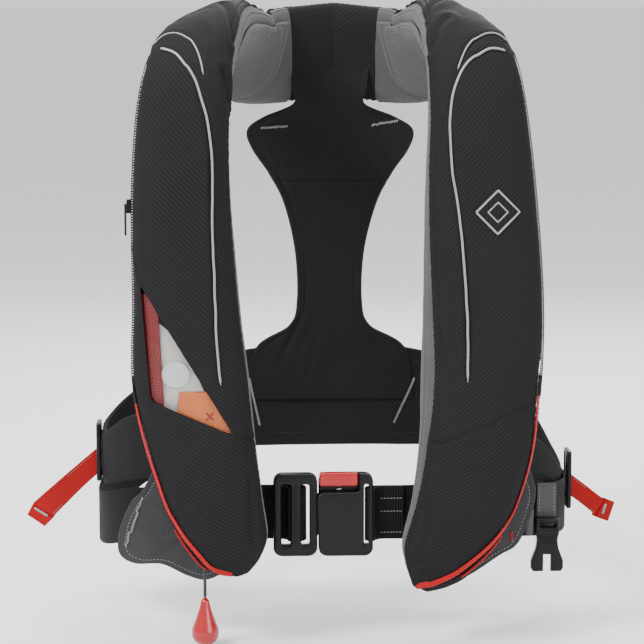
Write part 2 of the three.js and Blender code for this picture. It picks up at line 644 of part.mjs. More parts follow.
function manifoldNut() {
  const rear = GEAR_REAR_Y + GAP;
  const nut = turned([[0, 0], [10, 0], [10, 1.6], [0, 1.6]], 0, 0, 0, 6);
  return nut.rotateX(Math.PI / 2).translate(GEAR_X, rear + 1.6, INFLATOR.top - INFLATOR.h / 2);
}

const LEVER_PIVOT = { x: GEAR_X + 14, z: INFLATOR.top - INFLATOR.h - 5 };

function manualLever() {
  const shape = new THREE.Shape();
  shape.absarc(0, 0, 4.2, -Math.PI / 2, Math.PI / 2);
  shape.absarc(-LEVER_ARM, 0, 3, Math.PI / 2, 1.5 * Math.PI);
  const arm = new THREE.ExtrudeGeometry(shape, { depth: 4, bevelEnabled: false, curveSegments: 5 });
  return arm.rotateX(Math.PI / 2).translate(LEVER_PIVOT.x, INFLATOR_Y + 2, LEVER_PIVOT.z);
}

const CORD_TOP = LEVER_PIVOT.z - 3 - GAP;
const CORD_POINTS = [
  [LEVER_PIVOT.x - LEVER_ARM, INFLATOR_Y, CORD_TOP], [-152, -135, -280], [-148, -132, -308],
  [-142, -130, -335], [-133.5, -129, -361], [-127.5, -128.4, -386], [-125.8, -126.5, -404],
  [-125.5, -122.6, -419], [-125.5, -122, -432],
];
const TOGGLE_TOP = -432 - GAP;

const pullCord = () => tube(CORD_POINTS.map((p) => vec(...p)), CORD_R, 26, 8);

const pullToggle = () => turned([
  [0, 0], [0.8, -0.3], [3.4, -2.9], [4.4, -6], [6, -12], [9.4, -22], [TOGGLE_R * 0.96, -29], [TOGGLE_R, -33],
  [TOGGLE_R * 0.93, -38], [TOGGLE_R * 0.6, -42.6], [0, -TOGGLE_L],
].reverse(), -125.5, -122, TOGGLE_TOP, 16);

function oralTube() {
  const { x, y, low, high } = TUBE;
  const pipe = turned([[0, low], [TUBE_R, low], [TUBE_R, high], [0, high]], x, y, 0);
  const neck = TUBE_R + 1;
  const disc = neck + 5;
  const foot = turned([[0, 0], [disc, 0], [disc, 2], [neck, 3], [neck, 12], [0, 12]], 0, 0, 0);
  return join(pipe, foot.rotateX(Math.PI / 2).translate(x, y + 15.6, low + neck + 1));
}

const oralTubeCap = () => turned([
  [0, GAP], [TUBE_R + 1.6, GAP], [TUBE_R + 1.6, 12], [TUBE_R - 1, 14.5], [0, 14.5],
], TUBE.x, TUBE.y, TUBE.high);

function whistle() {
  const { w, h, d, y, z } = WHISTLE;
  const body = roundedPlate(w, h, d, 5, WHISTLE_X, y, z);
  return cut(body, box(WHISTLE_X - 5, WHISTLE_X + 5, y - d, y, z + 8, z + 13));
}

// Elastic loop that keeps the whistle beside the oral tube.
function whistleLoop() {
  const { x, y } = TUBE;
  const z = WHISTLE.z - 12;
  const [r, end] = [TUBE_R + 1, WHISTLE_X + WHISTLE.w / 2 + 1.4];
  return strap([
    [x - r + 0.3, y + r * 0.5, z], [x - r * 0.69, y + r * 0.89, z], [x, y + r, z], [x + r + 1, y + r - 1.4, z],
    [end - 3.4, WHISTLE.y + 6.1, z], [end, WHISTLE.y + 4, z], [end, WHISTLE.y - 4, z],
    [end - 3.4, WHISTLE.y - 6.2, z], [x + r + 1, y - r + 0.4, z], [x, y - r, z],
    [x - r * 0.69, y - r * 0.89, z], [x - r + 0.3, y - r * 0.5, z], [x - r, y - 1, z],
  ], 8, 1.2, 30);
}

const liftingLoop = () => strap([
  [118, -124.1, -338, 90], [118, -124.6, -300, 90], [118, -128, -272, 90], [118, -136, -262, 90],
  [118, -143, -272, 90], [118, -146, -300, 90], [118, -145, -330, 90],
], 24, 2, 18);

// ---------------------------------------------------------------- crotch strap
const STRAP_AT = { x: 191, y: -85.2, top: -337, buckleY: -92 };

function crotchStrap() {
  const { x, y, top } = STRAP_AT;
  return box(x - STRAP_W / 2, x + STRAP_W / 2, y - 1, y + 1, top - STRAP_L, top);
}

function crotchBuckle() {
  const { x, buckleY: y, top } = STRAP_AT;
  const high = top - STRAP_L - GAP;
  const outline = [
    [-11, 0], [11, 0], [11, -14], [9.5, -20], [10.5, -28], [15, -40], [15, -50], [-15, -50],
    [-15, -40], [-10.5, -28], [-9.5, -20], [-11, -14],
  ];
  const shape = new THREE.Shape(outline.map((p) => new THREE.Vector2(...p)));
  const body = new THREE.ExtrudeGeometry(shape, { depth: 12, bevelEnabled: false });
  body.rotateX(Math.PI / 2).translate(x, y + 6, high);
  const mouth = box(x - 11, x + 11, y - 3.6, y + 3.6, high - 51, high - 22);
  const half = STRAP_W / 2 + 0.6;
  const slot = box(x - half, x + half, y - 8, y + 8, high - 9, high - 4);
  return cut(body, mouth, slot);
}

// ---------------------------------------------------------------- zip slider
const SLIDER_Z = -74;
const SLIDER_AT = 6.95;

function sliderFrame() {
  const frame = lobeFrame(LEFT, SLIDER_AT);
  const low = frame.halfW + 2 * GAP + TAPE_T - COVER_T;
  return { x: frame.centre.x - low - CHAIN_T, y: frame.centre.y };
}

function zipSlider() {
  const { x, y } = sliderFrame();
  const half = CHAIN_W / 2 + 0.8;
  const block = box(x - 3.4, x + 0.9, y - half - 1.7, y + half + 1.7, SLIDER_Z - 6, SLIDER_Z + 6);
  const channel = box(x - 0.9, x + 3, y - half, y + half, SLIDER_Z - 8, SLIDER_Z + 8);
  return cut(block, channel);
}

function zipPuller() {
  const { x, y } = sliderFrame();
  return box(x - 5.4, x - 3.4 - GAP, y - 3, y + 3, SLIDER_Z - 26, SLIDER_Z + 2);
}

// ---------------------------------------------------------------- the assembly
const PAINT = {
  cover: [0x1c1c1f, 0.85, 0], lining: [0x77787c, 0.95, 0], webbing: [0x18181a, 0.8, 0],
  red: [0xd8141f, 0.7, 0], silver: [0xb9bcc0, 0.45, 0.2], film: [0xcfd6da, 0.08, 0],
  plastic: [0x121214, 0.3, 0], button: [0xd5121c, 0.3, 0], bladder: [0xf0d21c, 0.5, 0],
  white: [0xe9e9e6, 0.4, 0], steel: [0x9a9ea3, 0.35, 0.9], orange: [0xf06a12, 0.4, 0],
};

const jacket = new THREE.Group();

function add(name, geometry, paint) {
  const [color, roughness, metalness] = PAINT[paint];
  const mesh = new THREE.Mesh(geometry, new THREE.MeshStandardMaterial({ color, roughness, metalness }));
  mesh.name = name;
  jacket.add(mesh);
}

// Piping lines on the covers, as pairs of station and section angle.
const PIPING_LONG = {
  left: [
    [8.95, 56], [8.85, 80], [8.55, 96], [8.2, 107], [7.85, 117], [7.4, 123], [6.6, 119], [5.6, 114],
    [4.95, 114],
  ],
  right: [
    [8.9, 54], [8.9, 80], [8.65, 102], [8.3, 115], [7.9, 120], [7.4, 117], [6.8, 108], [6, 102.5],
    [5, 100],
  ],
};
const PIPING_SHORT = {
  left: [[9.1, 38], [9.25, 62], [9.2, 84], [8.95, 98], [8.6, 107]],
  right: [[9.12, 44], [9.22, 64], [9.15, 84], [8.95, 97], [8.65, 108]],
};

for (const side of [LEFT, RIGHT]) {
  add(`${side.name}_front_cover`, frontCover(side), 'cover');
  add(`${side.name}_back_panel`, backPanel(side), 'lining');
  add(`${side.name}_zip_tape`, zipTape(side), 'red');
  add(`${side.name}_zip_chain`, zipChain(side), 'plastic');
  add(`${side.name}_neck_pad`, neckPad(side), 'lining');
  add(`${side.name}_piping_long`, piping(side, PIPING_LONG[side.name], 34), 'silver');
  add(`${side.name}_piping_short`, piping(side, PIPING_SHORT[side.name], 12), 'silver');
  add(`${side.name}_side_adjuster`, sideAdjuster(...ADJUSTER_AT[side.name]), 'plastic');
}
add('collar_bridge', collarSheet(-8, 176), 'cover');
add('collar_lining', collarSheet(180, 348), 'lining');
add('left_window', windowFilm(), 'film');
add('badge_patch', badge(), 'silver');
add('bladder', bladder(), 'bladder');
add('back_yoke', backYoke(), 'cover');
add('left_side_panel', sidePanel(LEFT_PANEL), 'lining');
add('right_side_panel', sidePanel(RIGHT_PANEL), 'lining');
add('waist_belt_left', waistBeltLeft(), 'webbing');
add('waist_belt_right', waistBeltRight(), 'webbing');
add('belt_end_right', beltEndRight(), 'webbing');
add('buckle_tongue', buckleTongue(), 'plastic');
add('buckle_socket', buckleSocket(), 'plastic');
add('release_button', releaseButton(), 'button');
add('buckle_spring', buckleSpring(), 'steel');
add('left_pull_tab', flatSheet(LEFT_TAB, TAB_T, TAB_Y), 'red');
add('right_pull_tab', flatSheet(RIGHT_TAB, TAB_T, TAB_Y), 'red');
add('inflator_body', inflatorBody(), 'white');
add('inflator_cap', inflatorCap(), 'plastic');
add('manifold_nut', manifoldNut(), 'steel');
add('co2_cylinder', co2Cylinder(), 'steel');
add('manual_lever', manualLever(), 'red');
add('pull_cord', pullCord(), 'webbing');
add('pull_toggle', pullToggle(), 'button');
add('oral_tube', oralTube(), 'plastic');
add('oral_tube_cap', oralTubeCap(), 'red');
add('whistle', whistle(), 'orange');
add('whistle_loop', whistleLoop(), 'webbing');
add('lifting_loop', liftingLoop(), 'webbing');
add('crotch_strap', crotchStrap(), 'lining');
add('crotch_buckle', crotchBuckle(), 'plastic');
add('zip_slider', zipSlider(), 'steel');
add('zip_puller', zipPuller(), 'red');

export default jacket;
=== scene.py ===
"""Inflatable life jacket: cloth covers, webbing, moulded buckles and the stowed inflation gear,
made piece by piece around the jacket's frame. Metres, +Z up, the chest faces -Y."""
import math

import bmesh
import bpy
import numpy as np
from bpy.props import FloatProperty, FloatVectorProperty, PointerProperty
from mathutils import Matrix, Vector, noise


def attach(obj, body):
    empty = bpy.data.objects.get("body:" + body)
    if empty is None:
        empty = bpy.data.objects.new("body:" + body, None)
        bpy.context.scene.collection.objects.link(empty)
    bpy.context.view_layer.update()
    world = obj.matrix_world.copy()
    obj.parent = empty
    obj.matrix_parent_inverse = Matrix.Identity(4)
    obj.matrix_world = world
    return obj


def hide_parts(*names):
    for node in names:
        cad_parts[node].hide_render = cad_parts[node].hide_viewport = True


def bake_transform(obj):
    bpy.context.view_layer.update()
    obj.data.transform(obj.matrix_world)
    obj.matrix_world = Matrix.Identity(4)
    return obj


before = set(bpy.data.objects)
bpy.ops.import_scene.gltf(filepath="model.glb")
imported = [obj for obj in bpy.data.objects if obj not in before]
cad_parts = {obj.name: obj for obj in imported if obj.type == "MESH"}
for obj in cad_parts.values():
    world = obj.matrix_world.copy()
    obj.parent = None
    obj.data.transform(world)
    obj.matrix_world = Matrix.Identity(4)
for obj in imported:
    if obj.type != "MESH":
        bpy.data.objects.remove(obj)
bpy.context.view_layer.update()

bl_info = {
    "name": "Life Jacket Maker",
    "version": (1, 0, 0),
    "blender": (4, 5, 0),
    "location": "View3D > Sidebar > Life jacket",
    "description": "Makes an inflatable life jacket piece by piece",
    "category": "Object",
}

MM = 0.001
CLOTH_MAP = "cloth"  # UV map in real metres, for weaves and ribs
CLOTH_T = 0.0022  # one layer of padded cloth, metres
SUNK = -0.0006  # how far a cover's grid starts below the lobe's skin, metres
TO_CHEST = (0, -1, 0)

# ------------------------------------------------------------------ lobes, in millimetres
# centre x, y, z, half width, half thickness, outer edge's direction x, y, z, and the section
# angle where the front cover ends; from the lower tip over the shoulder to behind the neck
LEFT_LOBE = [
    [-96, -127, -409, 12, 9, -1, 0, 0, 160], [-99, -128, -397, 27, 16, -1, 0, 0, 160],
    [-104, -129, -380, 38, 22, -1, 0, 0, 162], [-115, -130, -345, 44, 26, -1, 0, 0, 164],
    [-126, -130, -298, 49, 28, -1, 0, 0, 164], [-136, -130, -230, 52, 28.5, -1, 0, 0, 162],
    [-139.5, -130, -158, 47.5, 28.5, -1, 0, 0, 162], [-143, -130, -69, 44, 28.5, -1, 0, 0, 166],
    [-141, -127, 5, 41, 28, -1, 0, 0, 170], [-134, -112, 50, 38, 26, -1, 0, -0.15, 172],
    [-124, -72, 74, 37, 22, -1, 0, -0.35, 172], [-114, -22, 80, 38, 19, -1, 0.1, -0.55, 172],
    [-102, 26, 68, 43, 16, -0.7, 0.35, -0.8, 170], [-80, 62, 52, 47, 14, -0.35, 0.3, -1, 170],
    [-45, 84, 54, 47, 13, -0.1, 0.2, -1, 170], [0, 92, 60, 45, 12.5, 0, 0.15, -1, 170],
]
RIGHT_LOBE = [
    [72, -126, -424, 11, 9, 1, 0, 0, 160], [79, -128, -411, 26, 16, 1, 0, 0, 158],
    [88, -129, -392, 38, 22, 1, 0, 0, 156], [107, -130, -348, 46, 26, 1, 0, 0, 152],
    [120, -130, -292, 52, 28, 1, 0, 0, 146], [124, -130, -230, 54.5, 28.5, 1, 0, 0, 138],
    [125, -130, -158, 54, 28.5, 1, 0, 0, 146], [122, -130, -69, 50, 28.5, 1, 0, 0, 156],
    [119, -127, 5, 44, 28, 1, 0, 0, 162], [114, -112, 52, 40, 26, 1, 0, -0.15, 168],
    [108, -72, 76, 37, 22, 1, 0, -0.35, 170], [104, -22, 82, 38, 19, 1, 0.1, -0.55, 170],
    [97, 26, 70, 43, 16, 0.7, 0.35, -0.8, 170], [78, 62, 53, 47, 14, 0.35, 0.3, -1, 170],
    [44, 84, 54, 47, 13, 0.1, 0.2, -1, 170], [0, 92, 60, 45, 12.5, 0, 0.15, -1, 170],
]
LEFT = {"name": "left", "hand": -1, "stations": LEFT_LOBE}
RIGHT = {"name": "right", "hand": 1, "stations": RIGHT_LOBE}
SIDES = (LEFT, RIGHT)
FULLNESS = 2.6  # superellipse power of a lobe's section
COLLAR_END = 14
LAST_STATION = 15
ZIP_REAR = 350.0

# lines on the covers, as pairs of station and section angle
ZIP_LINE = {
    "left": [(14, 4), (5.6, 4), (5.1, 10), (4.9, 13), (4.55, 18), (4.15, 23), (3.8, 28), (3.25, 29),
             (2.7, 40), (2.05, 52), (0.95, 58), (0.4, 82)],
    "right": [(14, 4), (5.6, 12), (5.05, 24), (4.8, 26), (4.15, 22), (3.6, 20), (3.15, 20), (2.75, 37),
              (2.25, 56), (1.55, 72), (0.75, 88), (0.05, 118)],
}
PIPING_LONG = {
    "left": [(8.95, 56), (8.85, 80), (8.55, 96), (8.2, 107), (7.85, 117), (7.4, 123), (6.6, 119),
             (5.6, 114), (4.95, 114)],
    "right": [(8.9, 54), (8.9, 80), (8.65, 102), (8.3, 115), (7.9, 120), (7.4, 117), (6.8, 108),
              (6, 102.5), (5, 100)],
}
PIPING_SHORT = {
    "left": [(9.1, 38), (9.25, 62), (9.2, 84), (8.95, 98), (8.6, 107)],
    "right": [(9.12, 44), (9.22, 64), (9.15, 84), (8.95, 97), (8.65, 108)],
}
SEAMS = {
    "left": [[(4.25, 126), (4.15, 146), (4.1, 162)], [(6.20, 44), (6.45, 26), (6.55, 12)]],
    "right": [[(4.02, 140), (4.05, 120), (4.30, 94), (4.55, 72), (4.70, 42), (4.75, 26)]],
}
# soft creases over the shoulders: two ends as station and angle, depth in mm
CREASES = {
    "left": [((8.3, 160), (8.75, 140), 1.6), ((9.4, 168), (10.4, 120), 1.1), ((11.2, 165), (11.9, 118), 1.5),
             ((12.3, 160), (12.6, 105), 1.3), ((10.3, 60), (11.6, 96), 0.9), ((13, 150), (13.3, 80), 1.0),
             ((1.8, 120), (3.4, 138), 1.1), ((3.2, 60), (4.2, 104), 0.6)],
    "right": [((9.1, 160), (9.6, 120), 1.5), ((9.9, 166), (10.5, 110), 1.2), ((11.3, 160), (11.6, 110), 1.4),
              ((12.1, 165), (12.5, 96), 1.6), ((7.4, 146), (7.9, 132), 1.0), ((10.7, 60), (11.9, 88), 0.9),
              ((13.1, 150), (13.3, 80), 1.0), ((1.6, 110), (3.0, 130), 1.3), ((4.9, 120), (5.6, 60), 0.6),
              ((3.4, 118), (3.9, 60), 0.5)],
}
WINDOW = [(-181, -139), (-174, -247), (-96, -279)]  # corners, x and z


# ------------------------------------------------------------------ curves and sheets
def between(rows, t):
    """Values of a Catmull-Rom curve through rows of numbers, at row position t."""
    last = len(rows) - 1
    i = min(max(int(math.floor(t)), 0), last - 1)
    a, b, d, e = (np.asarray(rows[min(max(i + k, 0), last)], float) for k in (-1, 0, 1, 2))
    f = t - i
    m0, m1 = (d - a) / 2, (e - b) / 2
    return ((2 * b - 2 * d + m0 + m1) * f + (3 * d - 3 * b - 2 * m0 - m1)) * f * f + m0 * f + b


def sampled(rows, count):
    """count + 1 points along a curve through rows."""
    return np.array([between(rows, (len(rows) - 1) * i / count) for i in range(count + 1)])


def unit(v):
    v = np.asarray(v, float)
    return v / np.maximum(np.linalg.norm(v, axis=-1, keepdims=True), 1e-12)


def lobe_frame(side, t):
    rows, last = side["stations"], LAST_STATION
    row = between(rows, t)
    run = unit(between(rows, min(t + 0.02, last))[:3] - between(rows, max(t - 0.02, 0))[:3])
    if t > last - 0.5:
        k = (t - last + 0.5) * 2
        run = unit(run * (1 - k) + np.array([-side["hand"], 0, 0]) * k)
    out = unit(row[5:8] - run * row[5:8].dot(run))
    face = np.cross(run, out) * -side["hand"]
    return {"centre": row[:3] * MM, "out": out, "face": face, "w": row[3] * MM, "t": row[4] * MM,
            "edge": row[8]}


def skin(at, degrees, offset=0.0):
    """Points of a lobe's section at these angles, offset outwards."""
    a = np.radians(np.atleast_1d(np.asarray(degrees, float)))
    c, s = np.cos(a), np.sin(a)
    power = 2 / FULLNESS
    u = np.sign(c) * np.abs(c) ** power * (at["w"] + offset)
    v = np.sign(s) * np.abs(s) ** power * (at["t"] + offset)
    return at["centre"] + u[:, None] * at["out"] + v[:, None] * at["face"]


def on_skin(side, pairs, count, offset=0.0):
    """A line on a lobe through pairs of station and angle, with the skin's outward directions."""
    line, outward = [], []
    for t, degrees in sampled(pairs, count):
        at = lobe_frame(side, t)
        p = skin(at, degrees, offset)[0]
        line.append(p)
        outward.append(skin(at, degrees, offset + 0.001)[0] - p)
    return np.array(line), unit(outward)


def ridge(d, at, broad):
    """A soft ridge across a distance: one at its middle, falling off over a breadth."""
    return np.exp(-((d - at) / broad) ** 2)


def to_chest(grid):
    """The chest's direction at every point of a grid."""
    return np.zeros_like(grid) + np.array(TO_CHEST)


def line_distance(points, line):
    """Least distance of each point to a line of points."""
    best = np.full(len(points), 1e9)
    for a, b in zip(line[:-1], line[1:]):
        d = b - a
        k = np.clip(((points - a) @ d) / max(d @ d, 1e-12), 0, 1)
        best = np.minimum(best, np.linalg.norm(points - (a + k[:, None] * d), axis=1))
    return best


def rough(points, size, seed=0.0):
    """Soft noise from -1 to 1 at points, with lumps of this size."""
    shift = Vector((seed * 7.31, seed * 3.17, seed * 5.73))
    return np.array([noise.noise(Vector(p) / size + shift) for p in points])


def lobe_sheet(side, t0, t1, rows, low, high, columns, offset=0.0):
    """A grid of points on a lobe, its outward directions, stations and angles."""
    points, outward, stations, angles = [], [], [], []
    for i in range(rows + 1):
        t = t0 + (t1 - t0) * i / rows
        at = lobe_frame(side, t)
        a = np.linspace(low(t, at), high(t, at), columns + 1)
        p = skin(at, a, offset)
        points.append(p)
        outward.append(skin(at, a, offset + 0.001) - p)
        stations.append(np.full(columns + 1, t))
        angles.append(a)
    return np.array(points), unit(outward), np.array(stations), np.array(angles)


def cloth_uv(points):
    """Lengths along a grid's columns and rows, in metres."""
    across = np.linalg.norm(np.diff(points, axis=1), axis=2)
    along = np.linalg.norm(np.diff(points, axis=0), axis=2).mean(axis=1)
    u = np.concatenate([np.zeros((len(points), 1)), np.cumsum(across, axis=1)], axis=1)
    u = u - u[:, -1:] / 2
    v = np.concatenate([[0], np.cumsum(along)])[:, None] * np.ones_like(u)
    return np.stack([u, v], axis=-1)


class Shape:
    """Faces gathered from several forms, made into one object at the end."""

    def __init__(self):
        self.verts, self.faces, self.uvs, self.mats = [], [], [], []

    def add(self, verts, faces, uvs=None, mat=0):
        base = len(self.verts)
        verts = [tuple(v) for v in verts]
        self.verts += verts
        self.faces += [tuple(base + i for i in f) for f in faces]
        self.uvs += [(v[0], v[2]) for v in verts] if uvs is None else [tuple(u) for u in uvs]
        self.mats += [mat] * len(faces)
        return self

    def grid(self, points, uvs=None, mat=0, wrap=False, caps=False):
        rows, columns = points.shape[:2]
        faces = []
        for i in range(rows - 1):
            for j in range(columns if wrap else columns - 1):
                k = (j + 1) % columns
                faces.append((i * columns + j, i * columns + k, (i + 1) * columns + k, (i + 1) * columns + j))
        if caps:
            faces.append(tuple(range(columns))[::-1])
            faces.append(tuple((rows - 1) * columns + j for j in range(columns)))
        uvs = cloth_uv(points) if uvs is None else uvs
        return self.add(points.reshape(-1, 3), faces, uvs.reshape(-1, 2), mat)

    def shell(self, front, outward, thickness, mat=0, inside=None):
        """A sheet of cloth with a thickness: two grids and a rolled rim."""
        rows, columns = front.shape[:2]
        rear = front - outward * thickness
        uv = cloth_uv(front).reshape(-1, 2)
        n = rows * columns
        quads = [
            (i * columns + j, i * columns + j + 1, (i + 1) * columns + j + 1, (i + 1) * columns + j)
            for i in range(rows - 1) for j in range(columns - 1)
        ]
        rim = list(range(columns))
        rim += [i * columns + columns - 1 for i in range(1, rows)]
        rim += [(rows - 1) * columns + j for j in range(columns - 2, -1, -1)]
        rim += [i * columns for i in range(rows - 2, 0, -1)]
        middle = (front + rear).reshape(-1, 3) / 2
        flat, normal = front.reshape(-1, 3), outward.reshape(-1, 3)
        centre = flat.mean(axis=0)
        roll = []
        for k, i in enumerate(rim):
            ahead = flat[rim[(k + 1) % len(rim)]] - flat[rim[k - 1]]
            side = unit(np.cross(ahead, normal[i]))
            inward = centre - flat[i]
            inner = flat[i + 1 if i % columns == 0 else i - 1 if i % columns == columns - 1 else
                         (i + columns if i < columns else i - columns)]
            if side @ (inner - flat[i]) > 0 or (side @ inward > 0 and side @ (inner - flat[i]) == 0):
                side = -side
            roll.append(middle[i] + side * thickness * 0.35)
        verts = np.concatenate([flat, rear.reshape(-1, 3), np.array(roll)])
        uvs = np.concatenate([uv, uv, uv[rim]])
        faces = list(quads)
        self_rear = [tuple(n + i for i in q)[::-1] for q in quads]
        rims = []
        for k in range(len(rim)):
            a, b = rim[k], rim[(k + 1) % len(rim)]
            ra, rb = 2 * n + k, 2 * n + (k + 1) % len(rim)
            rims += [(a, ra, rb, b), (ra, n + a, n + b, rb)]
        base = len(self.faces)
        self.add(verts, faces + rims + self_rear, uvs, mat)
        if inside is not None:
            for k in range(base + len(faces) + len(rims), len(self.faces)):
                self.mats[k] = inside
        return self

    def sweep(self, path, wide, section, mat=0, caps=True, scale=None):
        """A closed section of points a, b carried along a path; a lies along wide."""
        path = np.asarray(path, float)
        run = unit(np.gradient(path, axis=0))
        wide = np.broadcast_to(np.asarray(wide, float), path.shape)
        across = unit(np.cross(run, wide))
        wide = np.cross(across, run)
        section = np.asarray(section, float)
        size = np.ones(len(path)) if scale is None else np.asarray(scale, float)
        rings = (path[:, None] + wide[:, None] * (section[None, :, :1] * size[:, None, None])
                 + across[:, None] * (section[None, :, 1:] * size[:, None, None]))
        length = np.concatenate([[0], np.cumsum(np.linalg.norm(np.diff(path, axis=0), axis=1))])
        uvs = np.stack([np.broadcast_to(section[None, :, 0], rings.shape[:2]),
                        np.broadcast_to(length[:, None], rings.shape[:2])], axis=-1)
        return self.grid(rings, uvs, mat, wrap=True, caps=caps)

    def stitches(self, path, outward, long=2.6, pitch=4.0, radius=0.38, mat=0, slant=0.0):
        """A row of thread stitches that lie on a surface."""
        path = np.asarray(path, float)
        steps = np.linalg.norm(np.diff(path, axis=0), axis=1)
        length = np.concatenate([[0], np.cumsum(steps)])
        count = int(length[-1] / (pitch * MM))
        outward = np.broadcast_to(np.asarray(outward, float), path.shape)
        for k in range(count):
            middle = (k + 0.5) * pitch * MM
            at = np.array([np.interp(middle, length, path[:, c]) for c in range(3)])
            up = unit([np.interp(middle, length, outward[:, c]) for c in range(3)])
            ahead = np.array([np.interp(middle + 0.0005, length, path[:, c]) for c in range(3)])
            run = unit(ahead - at)
            side = unit(np.cross(up, run))
            run = unit(run * math.cos(slant) + side * math.sin(slant))
            side = unit(np.cross(up, run))
            rings = []
            for f, r in ((-0.5, 0.35), (-0.36, 0.85), (0, 1.0), (0.36, 0.85), (0.5, 0.35)):
                centre = at + run * f * long * MM + up * radius * MM * (0.9 * r - 0.3)
                ring = [centre + (side * math.cos(a) + up * math.sin(a)) * radius * r * MM
                        for a in np.linspace(0, 2 * math.pi, 6, endpoint=False)]
                rings.append(ring)
            self.grid(np.array(rings), None, mat, wrap=True, caps=True)
        return self

    def turned(self, profile, origin, axis=(0, 0, 1), sides=40, mat=0):
        """A lathe form: profile rows are radius and height in mm along the axis."""
        axis = unit(axis)
        a = unit(np.cross(axis, [0, 1, 0] if abs(axis[1]) < 0.9 else [1, 0, 0]))
        b = np.cross(axis, a)
        ring = np.linspace(0, 2 * math.pi, sides, endpoint=False)
        rows = [np.asarray(origin, float) + axis * h * MM
                + (np.cos(ring)[:, None] * a + np.sin(ring)[:, None] * b) * max(r, 0.02) * MM
                for r, h in profile]
        return self.grid(np.array(rows), None, mat, wrap=True, caps=True)

    def object(self, name, materials, crease=38):
        mesh = bpy.data.meshes.new(name)
        mesh.from_pydata(self.verts, [], self.faces)
        layer = mesh.uv_layers.new(name=CLOTH_MAP)
        index = np.empty(len(mesh.loops), np.int32)
        mesh.loops.foreach_get("vertex_index", index)
        layer.data.foreach_set("uv", np.asarray(self.uvs, np.float32)[index].ravel())
        mesh.polygons.foreach_set("material_index", np.asarray(self.mats, np.int32))
        for m in materials:
            mesh.materials.append(m)
        return dress(name, mesh, crease)


def dress(name, mesh, crease=38):
    """An object from a mesh, with its faces turned outwards and shaded smooth."""
    work = bmesh.new()
    work.from_mesh(mesh)
    bmesh.ops.remove_doubles(work, verts=work.verts, dist=1e-7)
    bmesh.ops.dissolve_degenerate(work, edges=work.edges, dist=1e-7)
    bmesh.ops.recalc_face_normals(work, faces=work.faces)
    work.to_mesh(mesh)
    work.free()
    mesh.polygons.foreach_set("use_smooth", np.ones(len(mesh.polygons), bool))
    mesh.set_sharp_from_angle(angle=math.radians(crease))
    label = name.replace(" ", "_")
    obj = bpy.data.objects.new(label + ("_piece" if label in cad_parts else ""), mesh)
    bpy.context.scene.collection.objects.link(obj)
    return obj


def settle(obj, body, slot, *nodes):
    """The piece rides on its body and stands for these frame nodes."""
    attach(obj, body)
    if nodes:
        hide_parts(*nodes)
    return obj


def rounded(width, height, corner, steps=6):
    """Outline of a rectangle with rounded corners, in mm."""
    out = []
    for cx, cz, start in ((1, -1, -90), (1, 1, 0), (-1, 1, 90), (-1, -1, 180)):
        for k in range(steps + 1):
            a = math.radians(start + 90 * k / steps)
            out.append((cx * (width / 2 - corner) + corner * math.cos(a),
                        cz * (height / 2 - corner) + corner * math.sin(a)))
    return out


def moved(outline, x, z):
    return [(p[0] + x, p[1] + z) for p in outline]


def moulded(name, outlines, thickness, edge, place, materials, turn=None):
    """A moulded plate with holes and rounded edges: outlines in mm, the first is the outer one."""
    curve = bpy.data.curves.new(name, "CURVE")
    curve.dimensions = "2D"
    curve.fill_mode = "BOTH"
    curve.extrude = (thickness / 2 - edge) * MM
    curve.bevel_depth = edge * MM
    curve.bevel_resolution = 3
    curve.offset = -edge * MM
    for outline in outlines:
        spline = curve.splines.new("POLY")
        spline.points.add(len(outline) - 1)
        for point, (x, z) in zip(spline.points, outline):
            point.co = (x * MM, z * MM, 0, 1)
        spline.use_cyclic_u = True
    obj = bpy.data.objects.new(name, curve)
    bpy.context.scene.collection.objects.link(obj)
    mesh = bpy.data.meshes.new_from_object(obj.evaluated_get(bpy.context.evaluated_depsgraph_get()))
    bpy.data.objects.remove(obj)
    upright = Matrix.Rotation(math.radians(90), 4, "X")
    mesh.transform(Matrix.Translation(Vector(place) * MM) @ (turn or Matrix.Identity(4)) @ upright)
    mesh.materials.clear()
    for m in materials:
        mesh.materials.append(m)
    work = bmesh.new()
    work.from_mesh(mesh)
    bmesh.ops.remove_doubles(work, verts=work.verts, dist=2e-6)
    work.to_mesh(mesh)
    work.free()
    mesh.name = name
    return dress(name, mesh, 32)


def webbing(width, thickness, steps=8):
    """Section of a flat strap with soft edges, in metres."""
    out = []
    w, h = width / 2 * MM, thickness / 2 * MM
    for side in (1, -1):
        for k in range(5):
            a = math.radians(-90 + 45 * k)
            out.append((side * (w - h + h * math.cos(a)), side * h * math.sin(a)))
        for k in range(1, steps):
            out.append((side * (w - h) * (1 - 2 * k / steps), side * h))
    return out


def round_section(radius, sides=10, flat=1.0):
    return [(radius * MM * math.cos(a), radius * MM * flat * math.sin(a))
            for a in np.linspace(0, 2 * math.pi, sides, endpoint=False)]


# ------------------------------------------------------------------ finishes
def wire(tree, source, target):
    """Feeds a socket or a number into a socket."""
    if hasattr(source, "is_output"):
        tree.links.new(source, target)
    else:
        target.default_value = source


def maths(tree, operation, a, b=0.0, clamp=False):
    node = tree.nodes.new("ShaderNodeMath")
    node.operation = operation
    node.use_clamp = clamp
    wire(tree, a, node.inputs[0])
    wire(tree, b, node.inputs[1])
    return node.outputs[0]


